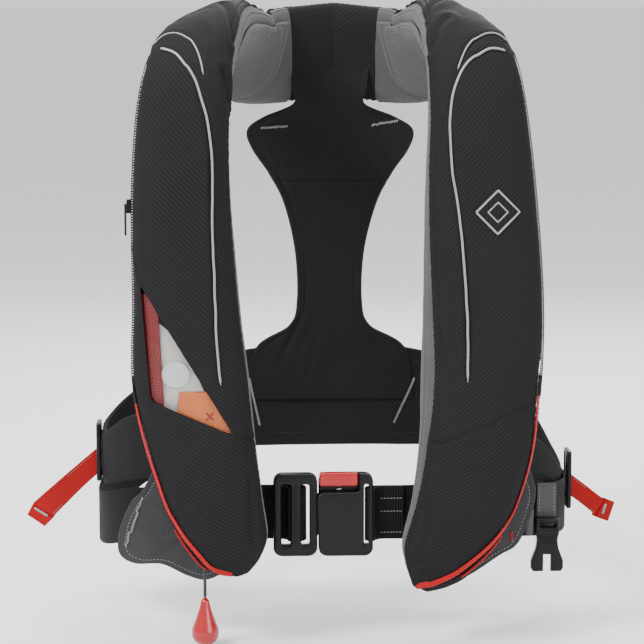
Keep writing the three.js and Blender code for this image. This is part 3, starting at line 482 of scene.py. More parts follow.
def group(name, inputs, outputs, build):
    """A shader node group, made once. Outputs are values, except one named Colour, which is a colour."""
    tree = bpy.data.node_groups.get(name)
    if tree:
        return tree
    tree = bpy.data.node_groups.new(name, "ShaderNodeTree")
    for label, kind in inputs:
        tree.interface.new_socket(name=label, in_out="INPUT", socket_type=kind)
    for label in outputs:
        kind = "NodeSocketColor" if label == "Colour" else "NodeSocketFloat"
        tree.interface.new_socket(name=label, in_out="OUTPUT", socket_type=kind)
    start = tree.nodes.new("NodeGroupInput")
    end = tree.nodes.new("NodeGroupOutput")
    for label, socket in build(tree, start.outputs).items():
        tree.links.new(socket, end.inputs[label])
    return tree


def threads(tree, into):
    """Warp and weft with a diagonal: Across and Along are threads per metre."""
    split = tree.nodes.new("ShaderNodeSeparateXYZ")
    tree.links.new(into["Vector"], split.inputs[0])
    turn = 2 * math.pi
    u = maths(tree, "MULTIPLY", maths(tree, "MULTIPLY", split.outputs[0], into["Across"]), turn)
    v = maths(tree, "MULTIPLY", maths(tree, "MULTIPLY", split.outputs[1], into["Along"]), turn)
    plain = maths(tree, "MULTIPLY", maths(tree, "SINE", u), maths(tree, "SINE", v))
    diagonal = maths(tree, "SINE", maths(tree, "ADD", maths(tree, "MULTIPLY", u, 0.5),
                                         maths(tree, "MULTIPLY", v, into["Slant"])))
    both = maths(tree, "ADD", maths(tree, "MULTIPLY", plain, 0.25),
                 maths(tree, "MULTIPLY", diagonal, 0.25))
    return {"Height": maths(tree, "ADD", both, 0.5)}


def ribs(tree, into):
    """Round ribs across a strap, Pitch to the metre, with a fine weave on them."""
    split = tree.nodes.new("ShaderNodeSeparateXYZ")
    tree.links.new(into["Vector"], split.inputs[0])
    v = maths(tree, "MULTIPLY", split.outputs[1], into["Pitch"])
    wave = maths(tree, "ABSOLUTE", maths(tree, "SINE", maths(tree, "MULTIPLY", v, math.pi)))
    u = maths(tree, "MULTIPLY", maths(tree, "MULTIPLY", split.outputs[0], into["Pitch"]), 2.6 * math.pi)
    fine = maths(tree, "MULTIPLY", maths(tree, "SINE", u), 0.18)
    return {"Height": maths(tree, "ADD", wave, fine)}


def speckle(tree, into):
    """Cloudy patches and a fine grain, for fading, lint and moulded skin."""
    patches = tree.nodes.new("ShaderNodeTexNoise")
    patches.inputs["Detail"].default_value = 3
    grain = tree.nodes.new("ShaderNodeTexNoise")
    grain.inputs["Detail"].default_value = 4
    for node, label in ((patches, "Patches"), (grain, "Grain")):
        tree.links.new(into["Vector"], node.inputs["Vector"])
        tree.links.new(into[label], node.inputs["Scale"])
    return {"Patch": patches.outputs["Fac"], "Fine": grain.outputs["Fac"]}


def tones(tree, into):
    """Colour between a dark and a light tone by Shade, roughness between two ends by Patch."""
    ramp = tree.nodes.new("ShaderNodeMapRange")
    ramp.inputs["From Min"].default_value = 0.25
    ramp.inputs["From Max"].default_value = 0.75
    tree.links.new(into["Shade"], ramp.inputs["Value"])
    mix = tree.nodes.new("ShaderNodeMix")
    mix.data_type = "RGBA"
    tree.links.new(ramp.outputs["Result"], mix.inputs[0])
    tree.links.new(into["Dark"], mix.inputs[6])
    tree.links.new(into["Light"], mix.inputs[7])
    spread = tree.nodes.new("ShaderNodeMapRange")
    tree.links.new(into["Patch"], spread.inputs["Value"])
    tree.links.new(into["Rough from"], spread.inputs["To Min"])
    tree.links.new(into["Rough to"], spread.inputs["To Max"])
    return {"Colour": mix.outputs[2], "Roughness": spread.outputs["Result"]}


VECTOR, VALUE, COLOUR = "NodeSocketVector", "NodeSocketFloat", "NodeSocketColor"


def groups():
    return {
        "threads": group("Cloth threads", [("Vector", VECTOR), ("Across", VALUE), ("Along", VALUE),
                                           ("Slant", VALUE)], ["Height"], threads),
        "ribs": group("Webbing ribs", [("Vector", VECTOR), ("Pitch", VALUE)], ["Height"], ribs),
        "speckle": group("Speckle", [("Vector", VECTOR), ("Patches", VALUE), ("Grain", VALUE)],
                         ["Patch", "Fine"], speckle),
        "tones": group("Two tones", [("Shade", VALUE), ("Patch", VALUE), ("Dark", COLOUR), ("Light", COLOUR),
                                     ("Rough from", VALUE), ("Rough to", VALUE)],
                       ["Colour", "Roughness"], tones),
    }


def placed(tree, source, **values):
    node = tree.nodes.new("ShaderNodeGroup")
    node.node_tree = source
    for label, value in values.items():
        wire(tree, value, node.inputs[label.replace("_", " ")])
    return node.outputs


def finish(name, base, roughness, pattern=None, size=None, dark=0.6, light=1.25, bump=0.0003,
           strength=0.7, patches=22.0, grain=900.0, fine=0.35, rough_spread=0.12, **shader):
    """A finish with a pattern, cloudy fading and a fine grain in colour, roughness and relief."""
    known = bpy.data.materials.get(name)
    if known:
        return known
    mat = bpy.data.materials.new(name)
    mat.use_nodes = True
    tree = mat.node_tree
    bsdf = tree.nodes["Principled BSDF"]
    sets = groups()
    place = tree.nodes.new("ShaderNodeTexCoord").outputs["Object"]
    cloud = placed(tree, sets["speckle"], Vector=place, Patches=patches, Grain=grain)
    height = maths(tree, "MULTIPLY", cloud["Fine"], fine)
    shade = maths(tree, "ADD", maths(tree, "MULTIPLY", cloud["Patch"], 0.6),
                  maths(tree, "MULTIPLY", cloud["Fine"], 0.4))
    if pattern:
        lie = tree.nodes.new("ShaderNodeUVMap")
        lie.uv_map = CLOTH_MAP
        woven = placed(tree, sets[pattern], Vector=lie.outputs[0], **size)["Height"]
        height = maths(tree, "ADD", height, woven)
        shade = maths(tree, "ADD", maths(tree, "MULTIPLY", shade, 0.45),
                      maths(tree, "MULTIPLY", woven, 0.55))
    tone = placed(tree, sets["tones"], Shade=shade, Patch=cloud["Patch"],
                  Dark=(*[c * dark for c in base], 1), Light=(*[min(c * light, 1) for c in base], 1),
                  Rough_from=max(roughness - rough_spread, 0.02), Rough_to=min(roughness + rough_spread, 1.0))
    tree.links.new(tone["Colour"], bsdf.inputs["Base Color"])
    tree.links.new(tone["Roughness"], bsdf.inputs["Roughness"])
    relief = tree.nodes.new("ShaderNodeBump")
    relief.inputs["Strength"].default_value = strength
    relief.inputs["Distance"].default_value = bump
    tree.links.new(height, relief.inputs["Height"])
    tree.links.new(relief.outputs[0], bsdf.inputs["Normal"])
    for socket, value in shader.items():
        bsdf.inputs[socket.replace("_", " ")].default_value = value
    return mat


def colours():
    return bpy.context.scene.life_jacket


def cover_cloth():
    return finish("cover cloth", colours().cover, 0.78, "threads",
                  {"Across": 430.0, "Along": 430.0, "Slant": 0.5}, dark=0.55, light=1.55, bump=0.00028,
                  Specular_IOR_Level=0.1)


def lining_cloth():
    return finish("soft lining", colours().lining, 0.95, "threads",
                  {"Across": 700.0, "Along": 430.0, "Slant": 0.5}, dark=0.62, light=1.45, bump=0.0005,
                  patches=30.0, grain=620.0, fine=1.1, Sheen_Weight=0.12, Sheen_Roughness=0.6,
                  Specular_IOR_Level=0.1)


def panel_cloth():
    return finish("side panel cloth", tuple(c * 0.62 for c in colours().lining), 0.9, "threads",
                  {"Across": 900.0, "Along": 420.0, "Slant": 0.0}, dark=0.6, light=1.5, bump=0.0004,
                  patches=26.0, fine=0.7, Sheen_Weight=0.05, Specular_IOR_Level=0.12)


def black_webbing():
    return finish("black webbing", colours().webbing, 0.66, "ribs", {"Pitch": 420.0}, dark=0.55,
                  light=1.8, bump=0.0006, Specular_IOR_Level=0.13)


def red_webbing():
    return finish("red webbing", colours().red, 0.62, "threads",
                  {"Across": 500.0, "Along": 800.0, "Slant": 0.5}, dark=0.55, light=1.2, bump=0.0003,
                  Specular_IOR_Level=0.2)


def grey_webbing():
    return finish("heather webbing", tuple(c * 1.15 for c in colours().lining), 0.85, "threads",
                  {"Across": 760.0, "Along": 560.0, "Slant": 0.5}, dark=0.45, light=1.6, bump=0.0004,
                  fine=0.9, Sheen_Weight=0.06, Specular_IOR_Level=0.12)


def red_tape():
    return finish("red zip binding", colours().red, 0.5, "ribs", {"Pitch": 900.0}, dark=0.8, light=1.2,
                  bump=0.0002, Specular_IOR_Level=0.2)


def silver_tape():
    return finish("reflective piping", (0.24, 0.243, 0.25), 0.45, "threads",
                  {"Across": 1200.0, "Along": 1200.0, "Slant": 0.5}, dark=0.82, light=1.2, bump=0.0001,
                  Metallic=0.25)


def silver_thread():
    return finish("silver thread", (0.24, 0.243, 0.25), 0.55, dark=0.8, light=1.2)


def black_thread():
    return finish("black thread", (0.008, 0.008, 0.0085), 0.6, dark=0.8, light=1.4)


def red_thread():
    return finish("red thread", colours().red, 0.55, dark=0.8, light=1.1)


def moulded_black():
    return finish("moulded black", (0.006, 0.006, 0.0065), 0.3, dark=0.8, light=1.35, bump=0.00008,
                  grain=1500.0, fine=1.0, patches=45.0, rough_spread=0.09, Specular_IOR_Level=0.16)


def teeth_black():
    return finish("zip teeth", (0.006, 0.006, 0.0065), 0.7, dark=0.8, light=1.3, bump=0.00005,
                  Specular_IOR_Level=0.04)


def button_red():
    return finish("red push button", (0.32, 0.001, 0.002), 0.26, dark=0.88, light=1.08, bump=0.00006,
                  grain=1500.0, fine=1.0, rough_spread=0.06)


def toggle_red():
    return finish("glossy red toggle", (0.34, 0.0012, 0.0025), 0.2, dark=0.9, light=1.08, bump=0.00004,
                  rough_spread=0.05, Coat_Weight=0.5, Coat_Roughness=0.12, Subsurface_Weight=0.06)


def clear_film():
    return finish("clear window film", (0.97, 0.975, 0.98), 0.04, dark=0.985, light=1.0, bump=0.0004,
                  strength=0.3, patches=60.0, grain=90.0, fine=1.0, rough_spread=0.02,
                  Transmission_Weight=1.0, IOR=1.2)


def bladder_cloth():
    return finish("coated bladder cloth", (0.62, 0.13, 0.004), 0.4, "threads",
                  {"Across": 900.0, "Along": 900.0, "Slant": 0.5}, dark=0.85, light=1.1, bump=0.0001,
                  Coat_Weight=0.25, Coat_Roughness=0.25)


def label_white():
    return finish("white coated cloth", (0.6, 0.58, 0.54), 0.45, "threads",
                  {"Across": 800.0, "Along": 800.0, "Slant": 0.5}, dark=0.9, light=1.05, bump=0.0001)


def gear_white():
    return finish("white moulding", (0.62, 0.64, 0.65), 0.34, dark=0.92, light=1.06, bump=0.00006,
                  grain=1300.0, fine=1.0)


def gear_grey():
    return finish("grey moulding", (0.06, 0.065, 0.07), 0.32, dark=0.85, light=1.2, bump=0.00006,
                  grain=1300.0, fine=1.0)


def steel():
    return finish("brushed steel", (0.5, 0.51, 0.53), 0.32, dark=0.85, light=1.15, bump=0.00003,
                  grain=400.0, Metallic=0.95)


def safety_orange():
    return finish("orange moulding", (0.86, 0.17, 0.012), 0.35, dark=0.9, light=1.06, bump=0.00006,
                  grain=1400.0, fine=1.0)


def cord_black():
    return finish("braided cord", (0.018, 0.018, 0.02), 0.7, "threads",
                  {"Across": 900.0, "Along": 900.0, "Slant": 0.5}, dark=0.6, light=1.8, bump=0.0003)


def floor_white():
    return finish("pale floor", (0.86, 0.86, 0.86), 0.9, dark=0.98, light=1.02, bump=0.0001,
                  patches=2.0, grain=60.0)


# ------------------------------------------------------------------ lobe covers
def zip_angle(side, t):
    """Section angle of the zip's line at a station."""
    line = sorted(ZIP_LINE[side["name"]])
    return float(np.interp(t, [p[0] for p in line], [p[1] for p in line]))


def relief(side, points, stations, angles):
    """Height in metres over a cover: fullness, seams, piping channels, puckers and creases."""
    flat = points.reshape(-1, 3)
    s, a = stations.ravel(), angles.ravel()
    edge = np.array([lobe_frame(side, t)["edge"] for t in stations[:, 0]]).repeat(stations.shape[1])
    low = np.array([zip_angle(side, t) for t in stations[:, 0]]).repeat(stations.shape[1])
    high = rough(flat, 0.085, 1 + side["hand"]) * 2.0
    high += rough(flat * [1, 1, 0.55], 0.03, 4 + side["hand"]) * 0.9
    high += rough(flat, 0.012, 9) * 0.16
    across = np.clip((a - low) / (edge - low), 0, 1)
    loose = np.clip((s - 7.4) / 1.6, 0, 1)
    lean = np.array([[p[0] * 0.5, p[1] * 0.8, p[2]] for p in flat]) + (a * 0.00022)[:, None]
    fold = rough(lean, 0.021, 14 + side["hand"])
    high += loose * (1 - np.abs(fold) * 2.4) * 1.15 * np.clip(rough(flat, 0.05, 17) * 2 + 0.5, 0, 1)
    high *= np.sin(np.pi * np.clip(across, 0.02, 0.98)) ** 0.5 * 0.9 + 0.1
    high += np.sin(np.pi * across) ** 0.6
    # puckers along the zip and the inner edge
    run = s * 42.0
    wave = np.sin(run * 1.7 + 2 * np.sin(run * 0.31)) * (0.6 + 0.4 * np.sin(run * 0.17))
    high += wave * 0.55 * (ridge(a, low, 7.0) + 0.8 * ridge(edge, a, 6.0))
    for seam in SEAMS[side["name"]]:
        line, _ = on_skin(side, seam, 40)
        d = line_distance(flat, line) / MM
        high += 0.7 * ridge(d, 5, 4.0) - 1.7 * ridge(d, 0, 1.5)
    for pairs in (PIPING_LONG[side["name"]], PIPING_SHORT[side["name"]]):
        line, _ = on_skin(side, pairs, 60)
        d = line_distance(flat, line) / MM
        high += 0.5 * ridge(d, 5, 3.5) - 0.9 * ridge(d, 0, 2.2)
    for first, last, depth in CREASES[side["name"]]:
        middle = ((first[0] + last[0]) / 2 + 0.06, (first[1] + last[1]) / 2)
        line, _ = on_skin(side, [first, middle, last], 24)
        d = line_distance(flat, line) / MM
        depth *= 1.7 if first[0] > 8 else 1.1
        high += depth * (0.6 * ridge(d, 8, 5.0) - ridge(d, 0, 3.0))
    if side is LEFT:  # the cover lies flatter round the window
        near = np.hypot((flat[:, 0] / MM + 148) / 55, (flat[:, 2] / MM + 215) / 85)
        high *= 1 - 0.75 * np.exp(-near ** 4)
    # the folded binding along the inner edge
    girth = np.linalg.norm(np.diff(points, axis=1), axis=2).sum(axis=1).repeat(stations.shape[1])
    inset = (edge - a) / (edge - low) * girth / MM
    high += 0.5 * ridge(inset, 0, 3.5) - 0.8 * ridge(inset, 7, 1.3)
    return (high * MM).reshape(stations.shape)


def cover_grid(side):
    rows, columns = 330, 62
    points, outward, stations, angles = lobe_sheet(
        side, 0.0, COLLAR_END, rows, lambda t, at: zip_angle(side, t) + 2.5, lambda t, at: at["edge"],
        columns, SUNK)
    return points + outward * relief(side, points, stations, angles)[..., None], outward


def front_at(x, z, grid):
    """Place on the front of a cover's grid over x and z, by its nearest points."""
    flat = grid.reshape(-1, 3)
    near = np.where(flat[:, 1] < -0.118)[0]
    d = np.hypot(flat[near, 0] - x, flat[near, 2] - z)
    best = np.argsort(d)[:6]
    weight = 1 / (d[best] + 1e-5)
    return float((flat[near[best], 1] * weight).sum() / weight.sum())


def triangle_inset(distance):
    """The window's corners, drawn in towards its middle by a distance in metres."""
    corners = [Vector((x * MM, z * MM)) for x, z in WINDOW]
    centre = sum(corners, Vector((0, 0))) / 3
    return [centre + (c - centre).normalized() * ((c - centre).length - distance) for c in corners]


def round_triangle(corners, radius=0.004, steps=6):
    """Outline of a triangle with rounded corners."""
    out = []
    for i in range(3):
        here, before, after = corners[i], corners[i - 1], corners[(i + 1) % 3]
        a = here + (before - here).normalized() * radius
        b = here + (after - here).normalized() * radius
        out += [a.lerp(here, k / steps).lerp(here.lerp(b, k / steps), k / steps) for k in range(steps + 1)]
    return out


def cut_window(obj):
    outline = round_triangle(triangle_inset(0.003), 0.005)
    cutter = Shape()
    rows = np.array([[[p.x, y, p.y] for p in outline] for y in (-0.2, -0.125)])
    cutter.grid(rows, None, 0, wrap=True, caps=True)
    knife = cutter.object("window cutter", [])
    trim = obj.modifiers.new("window", "BOOLEAN")
    trim.object = knife
    trim.operation = "DIFFERENCE"
    trim.solver = "EXACT"
    mesh = bpy.data.meshes.new_from_object(obj.evaluated_get(bpy.context.evaluated_depsgraph_get()))
    obj.modifiers.clear()
    old = obj.data
    obj.data = mesh
    mesh.name = old.name
    bpy.data.meshes.remove(old)
    bpy.data.objects.remove(knife)


def make_covers():
    for side in SIDES:
        name = side["name"]
        grid, outward = cover_grid(side)
        cover = Shape().shell(grid, outward, CLOTH_T, 0, 1).object(
            f"{name} front cover", [cover_cloth(), lining_cloth()])
        if side is LEFT:
            cut_window(cover)
        settle(cover, "harness", "cover_black", f"{name}_front_cover")
        # the zip's side wall, from the rear panel round to the zip
        points, outward, stations, _ = lobe_sheet(
            side, 0.0, COLLAR_END, 240, lambda t, at: ZIP_REAR - 360 - 2.5,
            lambda t, at: zip_angle(side, t) + 4, 14, -0.0033)
        waver = (rough(points.reshape(-1, 3), 0.02, 3) * 0.0004).reshape(stations.shape)
        wall = Shape().shell(points + outward * waver[..., None], outward, 0.0012)
        wall = wall.object(f"{name} zip wall", [cover_cloth()])
        settle(wall, "harness", "zip_red")


def make_linings():
    for side in SIDES:
        name = side["name"]
        points, outward, stations, angles = lobe_sheet(
            side, 0.0, COLLAR_END, 260, lambda t, at: at["edge"] + 1.8, lambda t, at: ZIP_REAR, 56, SUNK)
        flat = points.reshape(-1, 3)
        across = (angles - angles[:, :1]) / (angles[:, -1:] - angles[:, :1])
        high = rough(flat, 0.06, 2) * 1.1 + rough(flat, 0.02, 5) * 0.5
        high = high.reshape(stations.shape) * (0.2 + 0.8 * np.sin(np.pi * across))
        near = ridge(across, 0, 0.05) + ridge(1 - across, 0, 0.05)
        high += 0.5 * near * np.sin(stations * 70 + 2 * np.sin(stations * 11))
        high -= 0.9 * ridge(across, 0.09, 0.008)
        lining = Shape().shell(points + outward * high[..., None] * MM, outward, CLOTH_T).object(
            f"{name} back lining", [lining_cloth()])
        settle(lining, "harness", "lining_grey", f"{name}_back_panel")


ZIP_STEPS = 420
TEETH_REACH, EDGE_REACH = 0.0048, 0.0098  # from the binding out to the teeth and the thin edge, metres
TOOTH_PITCH = 2.3


def beside_zip(side, reach, first, last, lift=0.0):
    """The zip's line moved over the skin towards the lobe's outer edge, between two stations."""
    line, outward = [], []
    for t, a in sampled([(t, a + 0.5) for t, a in ZIP_LINE[side["name"]]], ZIP_STEPS):
        if first <= t <= last:
            at = lobe_frame(side, t)
            step = skin(at, [a - 0.5, a + 0.5])
            degrees = a - reach / max(float(np.linalg.norm(step[1] - step[0])), 0.0003)
            p = skin(at, degrees, lift)[0]
            line.append(p)
            outward.append(skin(at, degrees, lift + 0.001)[0] - p)
    return np.array(line), unit(outward)


def make_zips():
    """Red binding, black teeth beside it, and the thin red edge behind them."""
    flat_tape = [(2.6 * MM * math.cos(a), 0.75 * MM * math.sin(a)) for a in
                 np.linspace(0, 2 * math.pi, 14, endpoint=False)]
    for side in SIDES:
        name = side["name"]
        count = ZIP_STEPS
        path, outward = on_skin(side, [(t, a + 0.5) for t, a in ZIP_LINE[name]], count, 0.0008)
        run = unit(np.gradient(path, axis=0))
        wide = unit(np.cross(run, outward))
        swell = 1 + 0.05 * np.sin(np.arange(count + 1) * 0.9)
        grow = np.interp(np.arange(count + 1) / count, [0, 0.2, 0.36, 0.7, 0.95, 1],
                         [0.5, 0.55, 0.95, 1, 1.1, 0.5])
        tape = Shape().sweep(path, wide, flat_tape, 0, True, swell * grow)
        red_from = int(count * (0.30 if side is LEFT else 0.27))  # black along the upper lobe
        for k in range(red_from * len(flat_tape)):
            tape.mats[k] = 1
        on_red = slice(red_from, None)
        tape.stitches(path[on_red] + wide[on_red] * 0.0016 + outward[on_red] * 0.0006, outward[on_red],
                      2.0, 2.9, 0.2)
        tape = tape.object(f"{name} zip binding", [red_tape(), cover_cloth()])
        settle(tape, "harness", "zip_red", f"{name}_zip_tape")
        # teeth on a narrow tape, just outside the binding
        shifted, up = beside_zip(side, TEETH_REACH, 1.0 if side is LEFT else 1.5, 12.2, -0.0004)
        beside = unit(np.cross(unit(np.gradient(shifted, axis=0)), up))
        teeth = Shape()
        band = [(3.2 * MM * math.cos(a), 0.5 * MM * math.sin(a)) for a in
                np.linspace(0, 2 * math.pi, 10, endpoint=False)]
        teeth.sweep(shifted - up * 0.0008, beside, band)
        steps = np.linalg.norm(np.diff(shifted, axis=0), axis=1)
        length = np.concatenate([[0], np.cumsum(steps)])
        pitch = TOOTH_PITCH * MM
        for k in range(int(length[-1] / pitch)):
            at = np.array([np.interp(k * pitch, length, shifted[:, c]) for c in range(3)])
            b = unit([np.interp(k * pitch, length, beside[:, c]) for c in range(3)])
            n = unit([np.interp(k * pitch, length, up[:, c]) for c in range(3)])
            r = np.cross(b, n)
            lean = (0.5 if k % 2 else -0.5) * MM
            corners = []
            for h, size in ((-0.2, 1.0), (0.75, 0.95), (1.05, 0.6)):
                corners.append([at + n * h * MM + b * (x * 1.9 * size * MM + lean) + r * y * 0.62 * size * MM
                                for x, y in ((-1, -1), (1, -1), (1, 1), (-1, 1))])
            teeth.grid(np.array(corners), None, 0, wrap=True, caps=True)
        teeth = teeth.object(f"{name} zip teeth", [teeth_black()], 30)
        settle(teeth, "harness", "zip_black", f"{name}_zip_chain")
        # thin red edge outside the teeth, on the lower curve
        path, up = beside_zip(side, EDGE_REACH, 1.1 if side is LEFT else 1.7, 2.8, -0.0004)
        side_way = unit(np.cross(unit(np.gradient(path, axis=0)), up))
        edge = Shape().sweep(path, side_way, round_section(0.95, 8)).object(
            f"{name} lower zip edge", [red_tape()])
        settle(edge, "harness", "zip_red")


def make_piping():
    section = [(1.15 * MM * math.cos(a), 0.95 * MM * math.sin(a)) for a in
               np.linspace(0, 2 * math.pi, 14, endpoint=False)]
    for side in SIDES:
        name = side["name"]
        for label, pairs in (("long", PIPING_LONG[name]), ("short", PIPING_SHORT[name])):
            count = 220 if label == "long" else 70
            path, outward = on_skin(side, pairs, count, 0.0009)
            wide = unit(np.cross(unit(np.gradient(path, axis=0)), outward))
            waver = rough(path, 0.018, 6) * 0.55 * MM
            path = path + wide * waver[:, None]
            ends = np.clip(np.minimum(np.arange(count + 1), count - np.arange(count + 1)) / 4, 0.35, 1)
            narrow = ends * (1.0 if label == "long" else 0.72)
            pipe = Shape().sweep(path, wide, section, 0, True, narrow).object(
                f"{name} {label} piping", [silver_tape()])
            settle(pipe, "harness", "piping_silver", f"{name}_piping_{label}")


# ------------------------------------------------------------------ collar and pads
def joined(left, right):
    """Rows of the left half, then of the right half turned round, with their shared row once."""
    return np.concatenate([left, right[-2::-1]])


def collar_halves(low, high, rows=60, columns=50):
    """Both lobes' last stretch, which meet behind the neck."""
    return [lobe_sheet(side, COLLAR_END, LAST_STATION, rows, low, high, columns, SUNK) for side in SIDES]


def make_collar():
    halves = collar_halves(lambda t, at: 6.5, lambda t, at: at["edge"])
    points, outward, stations, angles = map(joined, *halves)
    both = joined(*[relief(side, half[0], half[2], half[3]) for side, half in zip(SIDES, halves)])
    across = (angles - angles[:, :1]) / (angles[:, -1:] - angles[:, :1])
    own = rough(points.reshape(-1, 3), 0.04, 8).reshape(stations.shape) * 1.2 + 1.0
    own = own * np.sin(np.pi * across)
    k = np.clip((stations - COLLAR_END) / 0.35, 0, 1)
    k = k * k * (3 - 2 * k)
    height = both * (1 - k) + own * MM * k + 0.0003
    bridge = Shape().shell(points + outward * height[..., None], outward, CLOTH_T, 0, 1)
    bridge = bridge.object("collar bridge", [cover_cloth(), lining_cloth()])
    settle(bridge, "harness", "cover_black", "collar_bridge")
    halves = collar_halves(lambda t, at: at["edge"] + 2.2, lambda t, at: ZIP_REAR - 2)
    points, outward, stations, angles = map(joined, *halves)
    across = (angles - angles[:, :1]) / (angles[:, -1:] - angles[:, :1])
    height = rough(points.reshape(-1, 3), 0.03, 12).reshape(stations.shape) * 1.1 * np.sin(np.pi * across)
    height += 0.5 * np.sin(stations * 60) * (ridge(across, 0, 0.06) + ridge(1 - across, 0, 0.06))
    lining = Shape().shell(points + outward * height[..., None] * MM, outward, 0.002).object(
        "collar lining", [cover_cloth()])
    settle(lining, "harness", "lining_grey", "collar_lining")


def make_pads():
    """Crowned fleece pads inside the collar, quilted down along a stitched edge."""
    for side in SIDES:
        name = side["name"]
        rows, columns = 150, 60
        u = np.linspace(0, 1, rows + 1)[:, None] * np.ones((1, columns + 1))
        v = np.linspace(0, 1, columns + 1)[None, :] * np.ones((rows + 1, 1))
        points = np.zeros((rows + 1, columns + 1, 3))
        outward = np.zeros_like(points)
        for i in range(rows + 1):
            for j in range(columns + 1):
                # the end behind the neck slopes back towards the lower edge
                t = 9.62 + (4.33 - 1.15 * v[i, j] ** 1.6) * u[i, j]
                bow = abs((t - 11.7) / 2.2) ** 4
                at = lobe_frame(side, t)
                degrees = 219 + 9 * bow + (115 - 21 * bow) * v[i, j]
                points[i, j] = skin(at, degrees, 0.0022)[0]
                outward[i, j] = skin(at, degrees, 0.0032)[0] - points[i, j]
        outward = unit(outward)
        edge_mm = np.minimum(np.minimum(u, 1 - u) * 150, np.minimum(v, 1 - v) * 72)
        crown = 1 - np.exp(-edge_mm / 7.0)
        quilt = -1.1 * ridge(edge_mm, 6.5, 1.3)
        flat = points.reshape(-1, 3)
        lumps = rough(flat, 0.028, 20 + side["hand"]).reshape(u.shape) * 0.9
        lumps += rough(flat, 0.009, 22).reshape(u.shape) * 0.3
        gather = 0.35 * np.sin(u * 120 + 3 * np.sin(u * 17)) * ridge(edge_mm, 8, 5)
        height = (crown * (5.6 + lumps) + quilt + gather) * MM
        face = points + outward * height[..., None]
        pad = Shape().shell(face, outward, 0.0018)
        ring = [(i, 5) for i in range(8, rows - 8)] + [(i, columns - 5) for i in range(rows - 8, 8, -1)]
        path = np.array([face[i, j] for i, j in ring])
        up = np.array([outward[i, j] for i, j in ring])
        half = rows - 16
        pad.stitches(path[:half], up[:half], 2.4, 3.6, 0.3, 1)
        pad.stitches(path[half:], up[half:], 2.4, 3.6, 0.3, 1)
        pad = pad.object(f"{name} neck pad", [lining_cloth(), silver_thread()])
        settle(pad, "harness", "lining_grey", f"{name}_neck_pad")


# ------------------------------------------------------------------ back
BAND = [
    (-158, -94.5, -322, -262), (-196, -66, -334, -276), (-219, -25, -346, -296), (-219, 30, -346, -292),
    (-188, 76, -340, -270), (-120, 107, -337, -248), (-60, 116, -337, -238), (0, 118, -337, -236),
    (60, 116, -337, -238), (120, 107, -338, -252), (184, 76, -350, -284), (211, 30, -368, -326),
    (211, -25, -362, -334), (190, -66, -338, -304), (160, -94.5, -328, -286),
]
YOKE = [
    (72, -40, 34, 86, 6), (50, -40, 34, 84, 6), (24, -39, 32, 80, 5), (6, -38, 29, 82, 3),
    (-8, -68, 60, 90, 4), (-20, -83, 77, 94, 6), (-38, -78, 73, 98, 6), (-62, -62, 57, 102, 5),
    (-92, -47, 42, 105, 4), (-140, -36, 30, 108, 3), (-190, -34, 28, 110, 2), (-216, -42, 36, 111, 2),
    (-240, -76, 72, 112, 2), (-290, -84, 80, 112, 2),
]
# folds in the yoke: two ends as x and z, and the depth
YOKE_FOLDS = ((-62, -26, -40, -100, 1.0), (58, -24, 32, -98, 1.1), (-58, -262, -26, -196, 1.3),
              (54, -262, 22, -196, 1.2), (-30, -286, -12, -214, 0.8))
# bar tacks on the yoke's shoulders and on the band, as two ends in x and z
YOKE_TACKS = (((-71.5, -17.6), (-43.8, -15.7)), ((38.3, -14.9), (65, -10)))
BAND_TACKS = (((-83.6, -268.2), (-72.8, -318.5)), ((82.8, -269.4), (61.8, -316.4)))
TACK = (2.8, 1.3, 0.42, 0, math.radians(62))
YOKE_T, BAND_T = 0.0045, 0.0038


